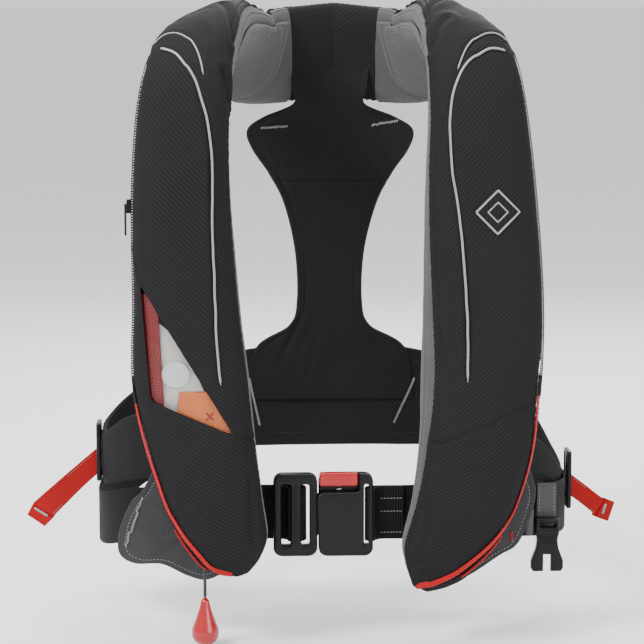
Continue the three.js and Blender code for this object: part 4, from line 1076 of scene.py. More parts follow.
def make_back():
    rows, columns = 190, 56
    table = sampled(YOKE, rows)
    f = np.linspace(0, 1, columns + 1)
    front = np.array([[(l + (r - l) * k, y - d * (2 * k - 1) ** 2, z) for k in f]
                      for z, l, r, y, d in table]) * MM
    flat = front.reshape(-1, 3)
    lie = rough(flat * [1, 1, 0.6], 0.05, 31) * 1.3 + rough(flat, 0.017, 33) * 0.35
    inset = np.minimum(f, 1 - f)[None, :] * (table[:, 2] - table[:, 1])[:, None]
    lie = lie.reshape(front.shape[:2]) * np.clip(inset / 14, 0.15, 1)
    lie += 0.6 * ridge(inset, 0, 3.2) - 0.7 * ridge(inset, 6.5, 1.1)
    lie -= 1.2 * ridge(table[:, 0], -70, 1.4)[:, None]
    lie += 0.8 * ridge(table[:, 0], -74.5, 3.4)[:, None]
    # folds that run down from the shoulders' corners and up from the hem
    x, z = front[..., 0] / MM, front[..., 2] / MM
    for x0, z0, x1, z1, deep in YOKE_FOLDS:
        run = np.array([x1 - x0, z1 - z0])
        k = np.clip(((x - x0) * run[0] + (z - z0) * run[1]) / (run @ run), 0, 1)
        d = np.hypot(x - x0 - k * run[0], z - z0 - k * run[1])
        lie += deep * np.sin(np.pi * np.clip(k, 0.05, 0.95)) * (ridge(d, 6, 5) - ridge(d, 0, 3))
    facing = to_chest(front)
    face = front + facing * lie[..., None] * MM
    yoke = Shape().shell(face, facing, YOKE_T)
    seam = int(np.argmin(np.abs(table[:, 0] + 72.5)))
    yoke.stitches(face[seam, 3:-3], facing[seam, 3:-3], 2.2, 3.2, 0.25, 1)
    for j in (4, columns - 4):
        yoke.stitches(face[58:-12, j], facing[58:-12, j], 2.2, 3.4, 0.25, 1)
    yoke = yoke.object("back yoke", [cover_cloth(), black_thread()])
    settle(yoke, "harness", "cover_black", "back_yoke")
    marks = Shape()
    here = lambda px, pz: face.reshape(-1, 3)[np.argmin(np.hypot(x.ravel() - px, z.ravel() - pz))] \
        + np.array([0, -0.0006, 0])
    for a, b in YOKE_TACKS:
        path = np.array([here(a[0] + (b[0] - a[0]) * k, a[1] + (b[1] - a[1]) * k)
                         for k in np.linspace(0, 1, 24)])
        marks.stitches(path, TO_CHEST, *TACK)
    # the waist band, right round the back
    count = 260
    rows_b = sampled(BAND, count)
    run = unit(np.gradient(rows_b[:, :2], axis=0))
    inward = np.stack([-run[:, 1], run[:, 0], np.zeros(count + 1)], axis=1)
    inward *= np.sign(np.einsum("ij,ij->i", inward[:, :2], -rows_b[:, :2]))[:, None]
    g = np.linspace(0, 1, 27)
    band = np.array([[(p[0], p[1], p[2] + (p[3] - p[2]) * k) for k in g] for p in rows_b]) * MM
    up = np.repeat(inward[:, None], 27, axis=1)
    flat = band.reshape(-1, 3)
    lie = (rough(flat * [1, 1, 0.5], 0.045, 41) * 1.1 + rough(flat, 0.014, 43) * 0.3).reshape(band.shape[:2])
    tall = (rows_b[:, 3] - rows_b[:, 2])[:, None] * np.minimum(g, 1 - g)[None, :]
    lie = lie * np.clip(tall / 12, 0.15, 1) + 0.5 * ridge(tall, 0, 3) - 0.7 * ridge(tall, 6, 1.1)
    sheet = band + up * (lie[..., None] * MM + BAND_T / 2)
    back_band = Shape().shell(sheet, up, BAND_T)
    for j in (3, 23):
        back_band.stitches(sheet[4:-4, j], up[4:-4, j], 2.2, 3.4, 0.25, 1)
    back_band = back_band.object("waist band", [cover_cloth(), black_thread()])
    settle(back_band, "harness", "cover_black")
    cloud = sheet[60:-60].reshape(-1, 3)
    for a, b in BAND_TACKS:
        path = []
        for k in np.linspace(0, 1, 30):
            i = np.argmin(np.hypot(cloud[:, 0] / MM - a[0] - (b[0] - a[0]) * k,
                                   cloud[:, 2] / MM - a[1] - (b[1] - a[1]) * k))
            near = face.reshape(-1, 3)[np.argmin(np.hypot(face[..., 0].ravel() - cloud[i, 0],
                                                          face[..., 2].ravel() - cloud[i, 2]))]
            depth = min(cloud[i, 1], near[1] if np.hypot(near[0] - cloud[i, 0], near[2] - cloud[i, 2]) < 0.004
                        else 9) - 0.0006
            path.append(((a[0] + (b[0] - a[0]) * k) * MM, depth, (a[1] + (b[1] - a[1]) * k) * MM))
        path = np.array(path)
        path[2:-2, 1] = np.convolve(path[:, 1], np.ones(5) / 5, "valid")
        marks.stitches(path, TO_CHEST, *TACK)
    marks = marks.object("back bar tacks", [silver_thread()])
    settle(marks, "harness", "piping_silver")


LEFT_PANEL = [(-168, -312), (-182, -338), (-193, -350), (-203, -374), (-204, -396), (-190, -406),
              (-165, -407), (-142, -418), (-124, -422), (-104, -412), (-94, -398)]
RIGHT_PANEL = [(172, -318), (179, -342), (173, -369), (162, -392), (146, -402), (119, -420), (96, -430),
               (80, -424)]
PANEL_Y = -97.2


def make_side_panels():
    for side, outline, focus in ((LEFT, LEFT_PANEL, (-130, -372)), (RIGHT, RIGHT_PANEL, (120, -376))):
        rim = sampled([(*p, 0) for p in outline], 120)[:, :2]
        rows = 34
        grid = np.array([[(focus[0] + (p[0] - focus[0]) * k, PANEL_Y, focus[1] + (p[1] - focus[1]) * k)
                          for k in np.linspace(0.02, 1, rows)] for p in rim]) * MM
        flat = grid.reshape(-1, 3)
        inset = (1 - np.linspace(0.02, 1, rows))[None, :] * np.linalg.norm(rim - focus, axis=1)[:, None]
        turn = np.arange(121)[:, None] / 120
        lie = rough(flat, 0.03, 51 + side["hand"]).reshape(grid.shape[:2]) * 0.5
        lie += 0.35 * np.sin(turn * 34 + 2 * np.sin(turn * 9)) * np.clip(inset / 14, 0, 1)
        lie += 0.35 * ridge(inset, 0, 2.6) - 0.55 * ridge(inset, 5.5, 1.0)
        out = to_chest(grid)
        face = grid + out * lie[..., None] * MM
        panel = Shape().shell(face, out, 0.0016)
        near = int((1 - 0.06) * rows) - 1
        panel.stitches(face[4:-4, near], out[4:-4, near], 2.2, 3.4, 0.25, 1)
        mats = [panel_cloth(), silver_thread(), red_thread()]
        centre = lambda x, z: face.reshape(-1, 3)[np.argmin(np.hypot(
            face[..., 0].ravel() - x * MM, face[..., 2].ravel() - z * MM))] + np.array([0, -0.0005, 0])
        if side is LEFT:
            line = np.array([centre(-182.8 - 16 * k, -344.9 - 46 * k) for k in np.linspace(0, 1, 30)])
            panel.stitches(line, TO_CHEST, 3.0, 1.5, 0.45, 1, math.radians(48))
        else:
            line = np.array([centre(157.7, -379.2 - 9.4 * k) for k in np.linspace(0, 1, 12)])
            panel.stitches(line, TO_CHEST, 2.6, 1.1, 0.5, 2, math.radians(70))
        panel = panel.object(f"{side['name']} side panel", mats)
        settle(panel, "harness", "lining_grey", f"{side['name']}_side_panel")
        flat = grid[:, -1]


# ------------------------------------------------------------------ waist belt
BELT_LEFT = [
    (-118, -90, -360), (-80, -90.1, -360), (-40.5, -90.2, -360), (-33.4, -98, -360), (-37, -106.3, -360),
    (-42.5, -106.3, -360), (-48, -106.3, -360), (-51.6, -98, -360), (-67, -93.6, -360), (-90, -93.5, -360),
    (-150, -93.5, -360), (-196, -72.5, -366), (-223.5, -26, -378), (-223.5, 30, -374), (-191.5, 80, -344),
    (-122, 111.5, -316), (-40, 121.6, -308),
]
BELT_RIGHT = [
    (140, -93.5, -360), (150, -93.5, -360), (194, -72.5, -364), (215.5, -26, -368), (215.5, 30, -366),
    (187.5, 80, -348), (122, 111.5, -316), (40, 121.6, -308), (-38, 124.45, -308),
]
BELT_SOCKET = [
    (150, -93.4, -360), (100, -93.5, -360), (57, -96.9, -360), (36.5, -96.9, -360), (25.3, -99.2, -360),
    (22.1, -104, -360), (24.9, -108.5, -360), (28.9, -108.3, -360), (31.3, -104, -360), (37.5, -99.6, -360),
    (57, -99.6, -360),
]
WEB_W, WEB_T = 50.0, 2.1


def belt(name, rows, count, body, node):
    path = sampled(rows, count) * MM
    run = unit(np.gradient(path, axis=0))
    shape = Shape()
    # the strap stays upright, so its wide direction is the vertical with the run's share removed
    wide = unit(np.array([0, 0, 1.0]) - run * run[:, 2:3])
    shape.sweep(path, wide, webbing(WEB_W, WEB_T, 14))
    settle(shape.object(name, [black_webbing(), silver_thread()]), body, "webbing_black", node)


def make_belts():
    belt("left waist belt", BELT_LEFT, 420, "harness", "waist_belt_left")
    belt("right waist belt", BELT_RIGHT, 260, "harness", "waist_belt_right")
    belt("right belt end", BELT_SOCKET, 300, "buckle_right", "belt_end_right")
    marks = Shape()
    for z in (-346.5, -358.6, -378.4):
        path = np.linspace((32.6, -99.6 - 1.3, z), (57.5, -100.9, z), 20) * MM
        marks.stitches(path, TO_CHEST, 2.3, 2.9, 0.3, 0)
    marks = marks.object("belt end stitching", [silver_thread()])
    settle(marks, "buckle_right", "webbing_black")


# ------------------------------------------------------------------ buckles
BUCKLE_Z, BUCKLE_Y = -360, -104
LADDER_X, SOCKET_X = -42.7, 3.6
SLOT_H = 57
BUTTON = (-2.9, -104.5, -327.3)


def hole(outline, x=0, z=0):
    """An outline moved into place and turned round, as a hole."""
    return moved(outline, x, z)[::-1]


def make_buckle():
    black = [moulded_black()]
    slots = [hole(rounded(8.2, SLOT_H, 2.4), -51.3 - LADDER_X),
             hole(rounded(7.6, SLOT_H, 2.4), -33.6 - LADDER_X)]
    tongue = moulded("buckle ladder half", [rounded(40.4, 77, 8)] + slots, 12.6, 2.4,
                     (LADDER_X, BUCKLE_Y, BUCKLE_Z), black)
    settle(tongue, "harness", "buckle_black", "buckle_tongue")
    blade = moulded("buckle blade", [rounded(17, 39, 3), hole(rounded(5, 10, 1.6), 1)], 3.9, 0.8,
                    (-16.4, BUCKLE_Y, BUCKLE_Z), black)
    settle(blade, "harness", "buckle_black")
    # low ridges that frame the ladder
    trim = Shape()
    for x in (-60.2, -42.4, -25.6):
        path = np.array([[x, -110.3, BUCKLE_Z + z] for z in np.linspace(-27, 27, 30)]) * MM
        trim.sweep(path, (1, 0, 0), round_section(1.1, 10, 0.5))
    trim = trim.object("buckle ladder ridges", black)
    settle(trim, "harness", "buckle_black")
    # the socket: a front plate with the button's notch, a middle layer open to the blade, a rear plate
    w, h, c = 50.0, 77.0, 8.0
    base = rounded(w, h, c)
    notch = [(w / 2 - 12.9, h / 2), (w / 2 - 12.9, h / 2 - 15.4), (w / 2 - 15, h / 2 - 17.4),
             (-w / 2 + 3, h / 2 - 17.4), (-w / 2 + 0.6, h / 2 - 19.6)]
    corner = [p for p in base if not (p[1] > h / 2 - c + 0.01 and p[0] < w / 2 - c - 0.01)]
    split = max(range(len(corner)), key=lambda i: corner[i][1] * 10 - abs(corner[i][0] - w / 2 + c))
    front = corner[:split + 1] + notch + corner[split + 1:]
    strap = [hole(rounded(4.4, SLOT_H, 1.8), 18.9)]
    socket = moulded("buckle socket face", [front] + strap, 4.6, 1.9, (SOCKET_X, -108.2, BUCKLE_Z), black)
    settle(socket, "buckle_right", "buckle_black", "buckle_socket")
    rear = moulded("buckle socket back", [base] + strap, 4.6, 1.9, (SOCKET_X, -99.8, BUCKLE_Z), black)
    settle(rear, "buckle_right", "buckle_black")
    r, u = w / 2, h / 2
    mouth = [(-r + 1.2, -u + 8), (-r + 4, -u + 1.2), (r - 4, -u + 1.2), (r - 1.2, -u + 8), (r - 1.2, u - 8),
             (r - 4, u - 1.2), (r - 12, u - 1.2), (r - 12, u - 17.5), (-r + 1.2, u - 17.5),
             (-r + 1.2, 20.4), (-r + 18.4, 20.4), (-r + 18.4, -20.6), (-r + 1.2, -20.6)]
    core = moulded("buckle socket core", [mouth] + strap, 4.4, 0.3, (SOCKET_X, BUCKLE_Y, BUCKLE_Z), black)
    settle(core, "buckle_right", "buckle_black")
    # the button, with three ribs on top
    button = moulded("push button", [rounded(35.6, 12.4, 2.4)], 8.8, 1.9, BUTTON, [button_red()])
    settle(button, "button", "button_red", "release_button")
    ribs_on_top = Shape()
    for z in (-3, 0, 3):
        path = np.array([[BUTTON[0] + x, -108.75, BUTTON[2] + z] for x in np.linspace(-9, 9, 20)]) * MM
        ribs_on_top.sweep(path, (0, 0, 1), round_section(0.5, 8, 0.7))
    ribs_on_top = ribs_on_top.object("push button ribs", [button_red()])
    settle(ribs_on_top, "button", "button_red")


def make_adjusters():
    turn = Matrix.Rotation(math.radians(90), 4, "Z")
    for name, x, z in (("left", -227.2, -319), ("right", 222.6, -350)):
        slots = [hole(rounded(7.0, 48, 2), -7), hole(rounded(7.0, 48, 2), 7)]
        plate = moulded(f"{name} side adjuster", [rounded(28, 56, 4)] + slots, 4.2, 1.2, (x, 0, z),
                        [moulded_black()], turn)
        settle(plate, "harness", "buckle_black", f"{name}_side_adjuster")
        grip = Shape()
        for k in range(7):
            path = np.array([[x + math.copysign(2.1, x), y, z + 20 - 3.2 * k - 6]
                             for y in np.linspace(-2.4, 2.4, 8)])
            grip.sweep(path * MM, (0, 0, 1), round_section(0.8, 8, 0.6))
        grip = grip.object(f"{name} adjuster grip ribs", [moulded_black()])
        settle(grip, "harness", "buckle_black")


# ------------------------------------------------------------------ tabs, straps, badge
def ribbon(upper, lower, count, columns):
    """Front grid of a flat ribbon between two edges in the X Z plane."""
    a = sampled([(*p, 0) for p in upper], count)[:, :2]
    b = sampled([(*p, 0) for p in lower], count)[:, :2]
    f = np.linspace(0, 1, columns + 1)
    return np.array([[(p[0] + (q[0] - p[0]) * k, 0, p[1] + (q[1] - p[1]) * k) for k in f]
                     for p, q in zip(a, b)]) * MM


def make_tabs():
    tabs = (
        ("left",
         [(-230.1, -318.4), (-250, -335.3), (-270, -352.5), (-287.5, -367.8), (-291, -371.8), (-296, -381.3)],
         [(-230.1, -341.8), (-245, -355.5), (-262, -372.5), (-270, -380.5), (-272.4, -384), (-280.6, -392.2)],
         (-290, -374.5), (-277.6, -382.6), -0.232, -0.246),
        ("right",
         [(225.7, -347), (240, -358), (254.4, -369.3), (258.5, -370.8), (268, -374.6)],
         [(225.7, -366.5), (238, -376), (247.1, -383.7), (248.6, -387.2), (262.3, -392.4)],
         (260, -375.8), (257, -385.5), 0.2276, 0.240),
    )
    for name, upper, lower, first, last, start, end in tabs:
        grid = ribbon(upper, lower, 130, 26)
        out = to_chest(grid)
        u = np.linspace(0, 1, 131)[:, None]
        v = np.linspace(0, 1, 27)[None, :]
        lie = 0.9 + rough(grid.reshape(-1, 3), 0.02, 61).reshape(grid.shape[:2]) * 0.35
        lie = lie + 0.25 * ridge(np.minimum(v, 1 - v), 0, 0.07)
        fold = 0.8 if name == "left" else 0.78
        lie = lie + np.where(u > fold, 0.55, 0) - 0.5 * ridge(u, fold, 0.012)
        face = grid + out * lie[..., None] * MM
        tab = Shape().shell(face, out, 0.002)
        stripe = np.linspace((first[0], 0, first[1]), (last[0], 0, last[1]), 20) * MM
        stripe[:, 1] = -0.0017
        tab.sweep(stripe, unit(np.cross(stripe[-1] - stripe[0], (0, 1, 0))), round_section(1.1, 8, 0.35), 1)
        row = face[int(130 * 0.42):int(130 * fold) - 3, 24]
        tab.stitches(row, TO_CHEST, 2.0, 3.1, 0.25, 2)
        tab.stitches(face[8:int(130 * 0.3), 2], (0, -1, 0), 2.0, 3.1, 0.22, 2)
        tab = tab.object(f"{name} pull tab", [red_webbing(), silver_tape(), silver_thread()])
        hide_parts(f"{name}_pull_tab")
        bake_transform(tab)


CROTCH_X = 191


def make_crotch():
    path = np.array([[CROTCH_X, -85.2, z] for z in np.linspace(-337, -368, 24)]) * MM
    path[:, 1] -= np.sin(np.linspace(0, math.pi, 24)) * 0.0006
    strap = Shape().sweep(path, (1, 0, 0), webbing(18, 2, 8))
    for x in (-6.8, 6.8):
        strap.stitches(path[2:-2] + np.array([x * MM, -0.001, 0]), (0, -1, 0), 2.0, 3.0, 0.22, 1)
    strap = strap.object("crotch strap", [grey_webbing(), silver_thread()])
    settle(strap, "crotch", "webbing_grey", "crotch_strap")
    top = -368.35
    half = [(11, 0), (11, -14), (9.5, -20), (10.5, -28), (15, -40), (15, -47), (13, -50)]
    outline = half + [(3.5, -50), (3.5, -34), (-3.5, -34), (-3.5, -50)] + [(-x, z) for x, z in half[::-1]]
    slot = hole(rounded(15, 4.4, 1.6), 0, -6)
    clip = moulded("crotch strap clip", [outline[::-1], slot], 9.4, 1.8, (CROTCH_X, -92, top),
                   [moulded_black()])
    settle(clip, "crotch", "buckle_black", "crotch_buckle")
    ridges = Shape()
    for k in range(4):
        reach = 7.5 - 0.2 * k
        line = np.array([[CROTCH_X + x, -96.7, top - 15.5 - 2.6 * k] for x in np.linspace(-reach, reach, 16)])
        ridges.sweep(line * MM, (0, 0, 1), round_section(0.85, 8, 0.7))
    ridges = ridges.object("crotch clip ridges", [moulded_black()])
    settle(ridges, "crotch", "buckle_black")
    # elastic keeper beside the strap
    keep = np.array([[174.6 - 3.2 * math.sin(a), -92 + 2.4 * math.cos(a), -372 + 0 * a] for a in
                     np.linspace(0, 2 * math.pi, 40)]) * MM
    keeper = Shape().sweep(keep, (0, 0, 1), webbing(24, 1.1, 8), 0, False)
    keeper = keeper.object("strap keeper", [grey_webbing()])
    settle(keeper, "harness", "webbing_grey")


BADGE_X, BADGE_Z, BADGE_SHARE = 135, -78, 10.5  # middle, and half of a corner's reach


def make_badge():
    """A plain diamond, silver edged."""
    grid, _ = cover_grid(RIGHT)
    n = 36
    k = np.linspace(-1, 1, n + 1)
    face = np.zeros((n + 1, n + 1, 3))
    for i, a in enumerate(k):
        for j, b in enumerate(k):
            x, z = BADGE_X + BADGE_SHARE * (a + b), BADGE_Z + BADGE_SHARE * (a - b)
            face[i, j] = (x * MM, front_at(x * MM, z * MM, grid), z * MM)
    for _ in range(3):
        deep = face[..., 1]
        deep[1:-1, 1:-1] = (deep[:-2, 1:-1] + deep[2:, 1:-1] + deep[1:-1, :-2] + deep[1:-1, 2:]) / 4
    out = to_chest(face)
    face = face + out * 0.0011
    patch = Shape().shell(face, out, 0.0012)
    rings = []
    for size, lift, broad in ((0.92, 0.0001, 0.85), (0.42, 0.0001, 0.6)):
        at = [(a, -1) for a in np.linspace(-1, 1, 30)] + [(1, a) for a in np.linspace(-1, 1, 30)] + [
            (a, 1) for a in np.linspace(1, -1, 30)] + [(-1, a) for a in np.linspace(1, -1, 30)]
        pts = []
        for a, b in at:
            i, j = (a * size + 1) / 2 * n, (b * size + 1) / 2 * n
            pts.append(face[int(round(i)), int(round(j))] * [0, 1, 0] + np.array(
                [(BADGE_X + BADGE_SHARE * (a + b) * size) * MM, 0,
                 (BADGE_Z + BADGE_SHARE * (a - b) * size) * MM]))
        rings.append((np.array(pts) + out[0, 0] * lift, broad))
    for pts, broad in rings:
        inward = unit(pts.mean(axis=0) - pts) * [1, 0, 1]
        patch.sweep(np.concatenate([pts, pts[:1]]), np.concatenate([inward, inward[:1]]),
                    round_section(broad, 8, 0.35), 1, False)
    patch = patch.object("plain diamond badge", [cover_cloth(), silver_tape()])
    settle(patch, "harness", "badge_white", "badge_patch")


def make_loops():
    rows = [(118, -124.1, -338), (118, -124.6, -300), (118, -128, -272), (118, -136, -262), (118, -143, -272),
            (118, -146, -300), (118, -145, -330)]
    path = sampled(rows, 90) * MM
    loop = Shape().sweep(path, (1, 0, 0), webbing(24, 2, 10)).object("lifting loop", [red_webbing()])
    settle(loop, "harness", "webbing_red", "lifting_loop")
    ring = []
    for x, y, r, start in ((112, -138, 8.0, math.pi / 2), (132.2, -138.3, 7.6, -math.pi / 2)):
        ring += [(x + r * math.cos(a), y + r * math.sin(a)) for a in np.linspace(start, start + math.pi, 16)]
    ring.append(ring[0])
    path = np.array([(x, y, -132) for x, y in ring]) * MM
    holder = Shape().sweep(path, (0, 0, 1), webbing(7.6, 1.1, 6), 0, False)
    holder = holder.object("whistle loop", [black_webbing()])
    settle(holder, "harness", "webbing_black", "whistle_loop")


# ------------------------------------------------------------------ window and what is behind it
def skin_y(side, x, z):
    """Depth of a lobe's front over x and z, in metres."""
    zs = [row[2] for row in side["stations"]][:10]
    u, t = 0.0, 5.0
    for _ in range(5):
        at = lobe_frame(side, t)
        u = (x - at["centre"][0]) / at["out"][0]
        t = float(np.interp((z - u * at["out"][2]) / MM, zs, range(10)))
    share = min(abs(u) / at["w"], 0.999)
    return at["centre"][1] - at["t"] * (1 - share ** FULLNESS) ** (1 / FULLNESS)


def patch_behind(corners, depth, wave, seed, rows=34, columns=34):
    """Grid over four corners in x and z, a depth behind the left lobe's front, with soft waves."""
    a, b, c, d = (np.array(p, float) for p in corners)
    grid = np.zeros((rows + 1, columns + 1, 3))
    for i in range(rows + 1):
        for j in range(columns + 1):
            f, g = i / rows, j / columns
            x, z = (a * (1 - g) + b * g) * (1 - f) + (d * (1 - g) + c * g) * f
            grid[i, j] = (x * MM, skin_y(LEFT, x * MM, z * MM) + depth * MM, z * MM)
    flat = grid.reshape(-1, 3)
    grid[..., 1] += rough(flat, 0.022, seed).reshape(rows + 1, columns + 1) * wave * MM
    return grid, to_chest(grid)


def make_window():
    a, b, c = WINDOW
    rows = 40
    film = np.zeros((rows + 1, rows + 1, 3))
    for i in range(rows + 1):
        f = max(i / rows, 0.012)
        for j in range(rows + 1):
            g = j / rows
            x = a[0] + f * ((b[0] - a[0]) * (1 - g) + (c[0] - a[0]) * g)
            z = a[1] + f * ((b[1] - a[1]) * (1 - g) + (c[1] - a[1]) * g)
            film[i, j] = (x * MM, skin_y(LEFT, x * MM, z * MM) + 0.0026, z * MM)
    flat = film.reshape(-1, 3)
    film[..., 1] += rough(flat, 0.03, 71).reshape(rows + 1, rows + 1) * 0.0004
    out = to_chest(film)
    pane = Shape().shell(film, out, 0.0004).object("clear window", [clear_film()])
    settle(pane, "harness", "window_film", "left_window")
    strip, out = patch_behind([(-179, -150), (-165.5, -152), (-160, -256), (-173, -252)], 5.2, 0.4, 72)
    dull_red = finish("dull red tape", tuple(c * 0.5 for c in colours().red), 0.6, dark=0.8, light=1.2)
    strip = Shape().shell(strip, out, 0.0016).object("inner red tape", [dull_red])
    settle(strip, "harness", "zip_red")
    white, out = patch_behind([(-165, -176), (-140, -196), (-116, -262), (-168, -252)], 8.4, 1.6, 73)
    white = Shape().shell(white, out, 0.0012).object("folded white flap", [label_white()])
    settle(white, "harness", "bladder_yellow")
    flap, out = patch_behind([(-146, -238), (-112, -238), (-98, -279), (-150, -275)], 5.4, 1.0, 74)
    flap = Shape().shell(flap, out, 0.0014)
    for sign in (1, -1):
        at = [(-119.3 + 3.4 * k, -259.6 + sign * 3.4 * k) for k in np.linspace(-1, 1, 12)]
        line = np.array([(x * MM, skin_y(LEFT, x * MM, z * MM) + 0.0044, z * MM) for x, z in at])
        flap.sweep(line, (sign * -0.7, 0, 0.7), round_section(0.7, 8, 0.6), 1)
    flap = flap.object("folded bladder flap", [bladder_cloth(), red_thread()])
    settle(flap, "harness", "bladder_yellow")


def make_bladder():
    """The folded bladder along both lobes, joined behind the neck."""
    rows, columns = 110, 72
    halves = []
    for side in SIDES:
        rings = []
        for i in range(rows + 1):
            t = 1.6 + (LAST_STATION - 1.6) * i / rows
            at = lobe_frame(side, t)
            slim = min(1.0, (t - 1.2) / 1.2)
            w, h = (at["w"] - 9 * MM) * slim, min(8.5 * MM, at["t"] - 6 * MM) * slim
            centre = at["centre"] - at["face"] * max(at["t"] - h - 4.5 * MM, 0) * 0.8
            a = np.linspace(0, 2 * math.pi, columns, endpoint=False)
            u = np.sign(np.cos(a)) * np.abs(np.cos(a)) ** 0.7 * w
            v = np.sign(np.sin(a)) * np.abs(np.sin(a)) ** 0.7 * h * (1 + 0.05 * np.sin(a * 9 + t * 3))
            rings.append(centre + u[:, None] * at["out"] + v[:, None] * at["face"])
        halves.append(np.array(rings))
    rings = np.concatenate([halves[0], halves[1][-2::-1]])
    bladder = Shape().grid(rings, None, 0, wrap=True, caps=True).object("folded bladder", [bladder_cloth()])
    settle(bladder, "harness", "bladder_yellow", "bladder")


# ------------------------------------------------------------------ inflation gear
CORD_POINTS = [
    (-154, -135.8, -252.35), (-152, -135, -280), (-148, -132, -308), (-142, -130, -335), (-133.5, -129, -361),
    (-127.5, -128.4, -386), (-125.8, -126.5, -404), (-125.5, -122.6, -419), (-125.5, -122, -432),
]
TOGGLE = [(0, 0), (0.8, -0.3), (3.4, -2.9), (4.4, -6), (6, -12), (9.4, -22), (12, -29), (12.5, -33),
          (11.6, -38), (7.5, -42.6), (0, -44)]


def make_cord():
    path = sampled(CORD_POINTS, 150) * MM
    thick = bpy.context.scene.life_jacket.cord
    cord = Shape().sweep(path, TO_CHEST, round_section(thick / 2 / MM, 16))
    cord = cord.object("pull cord", [cord_black()])
    settle(cord, "cord_pull", "cord_black", "pull_cord")
    profile = sampled([(*p, 0) for p in TOGGLE], 70)[:, :2]
    drop = Shape().turned(profile, (-0.1255, -0.122, -0.43235), (0, 0, 1), 64)
    drop = drop.object("pull toggle", [toggle_red()], 60)
    settle(drop, "toggle", "toggle_red", "pull_toggle")


# the frame's own solids that stay, and their finishes
KEPT = {
    "inflator_body": gear_white, "inflator_cap": gear_white, "manifold_nut": gear_grey,
    "co2_cylinder": steel, "manual_lever": gear_grey, "oral_tube": moulded_black,
    "oral_tube_cap": moulded_black, "whistle": safety_orange, "zip_slider": moulded_black,
    "zip_puller": moulded_black, "buckle_spring": steel,
}


def make_gear():
    for node, look in KEPT.items():
        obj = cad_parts[node]
        if not obj.material_slots:
            obj.data.materials.append(None)
        for place in obj.material_slots:
            place.material = look()


# ------------------------------------------------------------------ stage
FLOOR_Z, FLOOR_REACH = -0.4785, 160
# soft lamps: place, diameter and share of the key light's power
LAMPS = {
    "key": ((-1.5, -1.3, 1.5), 0.9, 1.5), "fill": ((1.5, -1.9, 0.5), 1.4, 0.5),
    "top": ((0, 0.2, 1.9), 1.6, 0.8), "back": ((0.3, 1.6, 0.9), 1.3, 0.5),
}


def make_stage():
    scene = bpy.context.scene
    lens = bpy.data.cameras.new("camera")
    lens.lens, lens.sensor_width, lens.shift_x = 128.57, 36, -0.0232919
    camera = bpy.data.objects.new("camera", lens)
    scene.collection.objects.link(camera)
    camera.location = (-0.0908, -2.1668, 0.1078)
    camera.rotation_euler = (Vector((0, 0, -0.197)) - camera.location).to_track_quat("-Z", "Y").to_euler()
    scene.camera = camera
    power = scene.life_jacket.light
    for name, (place, size, share) in LAMPS.items():
        lamp = bpy.data.lights.new(name, "AREA")
        lamp.shape, lamp.size, lamp.energy = "DISK", size, power * share
        obj = bpy.data.objects.new(name, lamp)
        obj.location = place
        obj.rotation_euler = (Vector((0, 0, -0.18)) - Vector(place)).to_track_quat("-Z", "Y").to_euler()
        scene.collection.objects.link(obj)
    world = bpy.data.worlds.new("pale room")
    world.use_nodes = True
    world.node_tree.nodes["Background"].inputs[0].default_value = (1, 1, 1, 1)
    world.node_tree.nodes["Background"].inputs[1].default_value = 1.1
    scene.world = world
    reach = np.linspace(-FLOOR_REACH, FLOOR_REACH, 17)
    grid = np.array([[(x, y, FLOOR_Z) for x in reach] for y in reach])
    floor = Shape().grid(grid).object("floor", [floor_white()], 60)


# ------------------------------------------------------------------ add-on
class LifeJacketSettings(bpy.types.PropertyGroup):
    """Colours and sizes of the jacket"""

    cover: FloatVectorProperty(name="Cover cloth", description="Colour of the outer cloth", subtype="COLOR",
                               default=(0.0105, 0.0105, 0.0113), min=0, max=1)
    lining: FloatVectorProperty(name="Lining", description="Colour of the soft lining and pads",
                                subtype="COLOR", default=(0.062, 0.062, 0.066), min=0, max=1)
    webbing: FloatVectorProperty(name="Webbing", description="Colour of the waist belt", subtype="COLOR",
                                 default=(0.004, 0.004, 0.0043), min=0, max=1)
    red: FloatVectorProperty(name="Red trim", description="Colour of the zip binding and the pull tabs",
                             subtype="COLOR", default=(0.33, 0.0008, 0.002), min=0, max=1)
    cord: FloatProperty(name="Cord diameter", description="Diameter of the pull cord", unit="LENGTH",
                        default=0.003, min=0.002, max=0.004)
    light: FloatProperty(name="Light", description="Power of the key light in watts", default=52.0,
                         min=1, max=500)


class Maker:
    """What every operator here shares"""

    bl_options = {"REGISTER", "UNDO"}


class MakeStage(Maker, bpy.types.Operator):
    """Camera, floor and soft light"""

    bl_idname = "life_jacket.stage"
    bl_label = "Stage"

    def execute(self, context):
        make_stage()
        return {"FINISHED"}


class MakeCord(Maker, bpy.types.Operator):
    """The manual pull cord with its toggle"""

    bl_idname = "life_jacket.cord"
    bl_label = "Pull cord and toggle"

    def execute(self, context):
        make_cord()
        return {"FINISHED"}


class MakeCovers(Maker, bpy.types.Operator):
    """The lobes' outer cloth"""

    bl_idname = "life_jacket.covers"
    bl_label = "Front covers"

    def execute(self, context):
        make_covers()
        return {"FINISHED"}


class MakeLinings(Maker, bpy.types.Operator):
    """The lobes' soft rear faces"""

    bl_idname = "life_jacket.linings"
    bl_label = "Back linings"

    def execute(self, context):
        make_linings()
        return {"FINISHED"}


class MakeCollar(Maker, bpy.types.Operator):
    """The bridge and lining behind the neck"""

    bl_idname = "life_jacket.collar"
    bl_label = "Collar"

    def execute(self, context):
        make_collar()
        return {"FINISHED"}


class MakePads(Maker, bpy.types.Operator):
    """Crowned pads inside the collar"""

    bl_idname = "life_jacket.pads"
    bl_label = "Neck pads"

    def execute(self, context):
        make_pads()
        return {"FINISHED"}


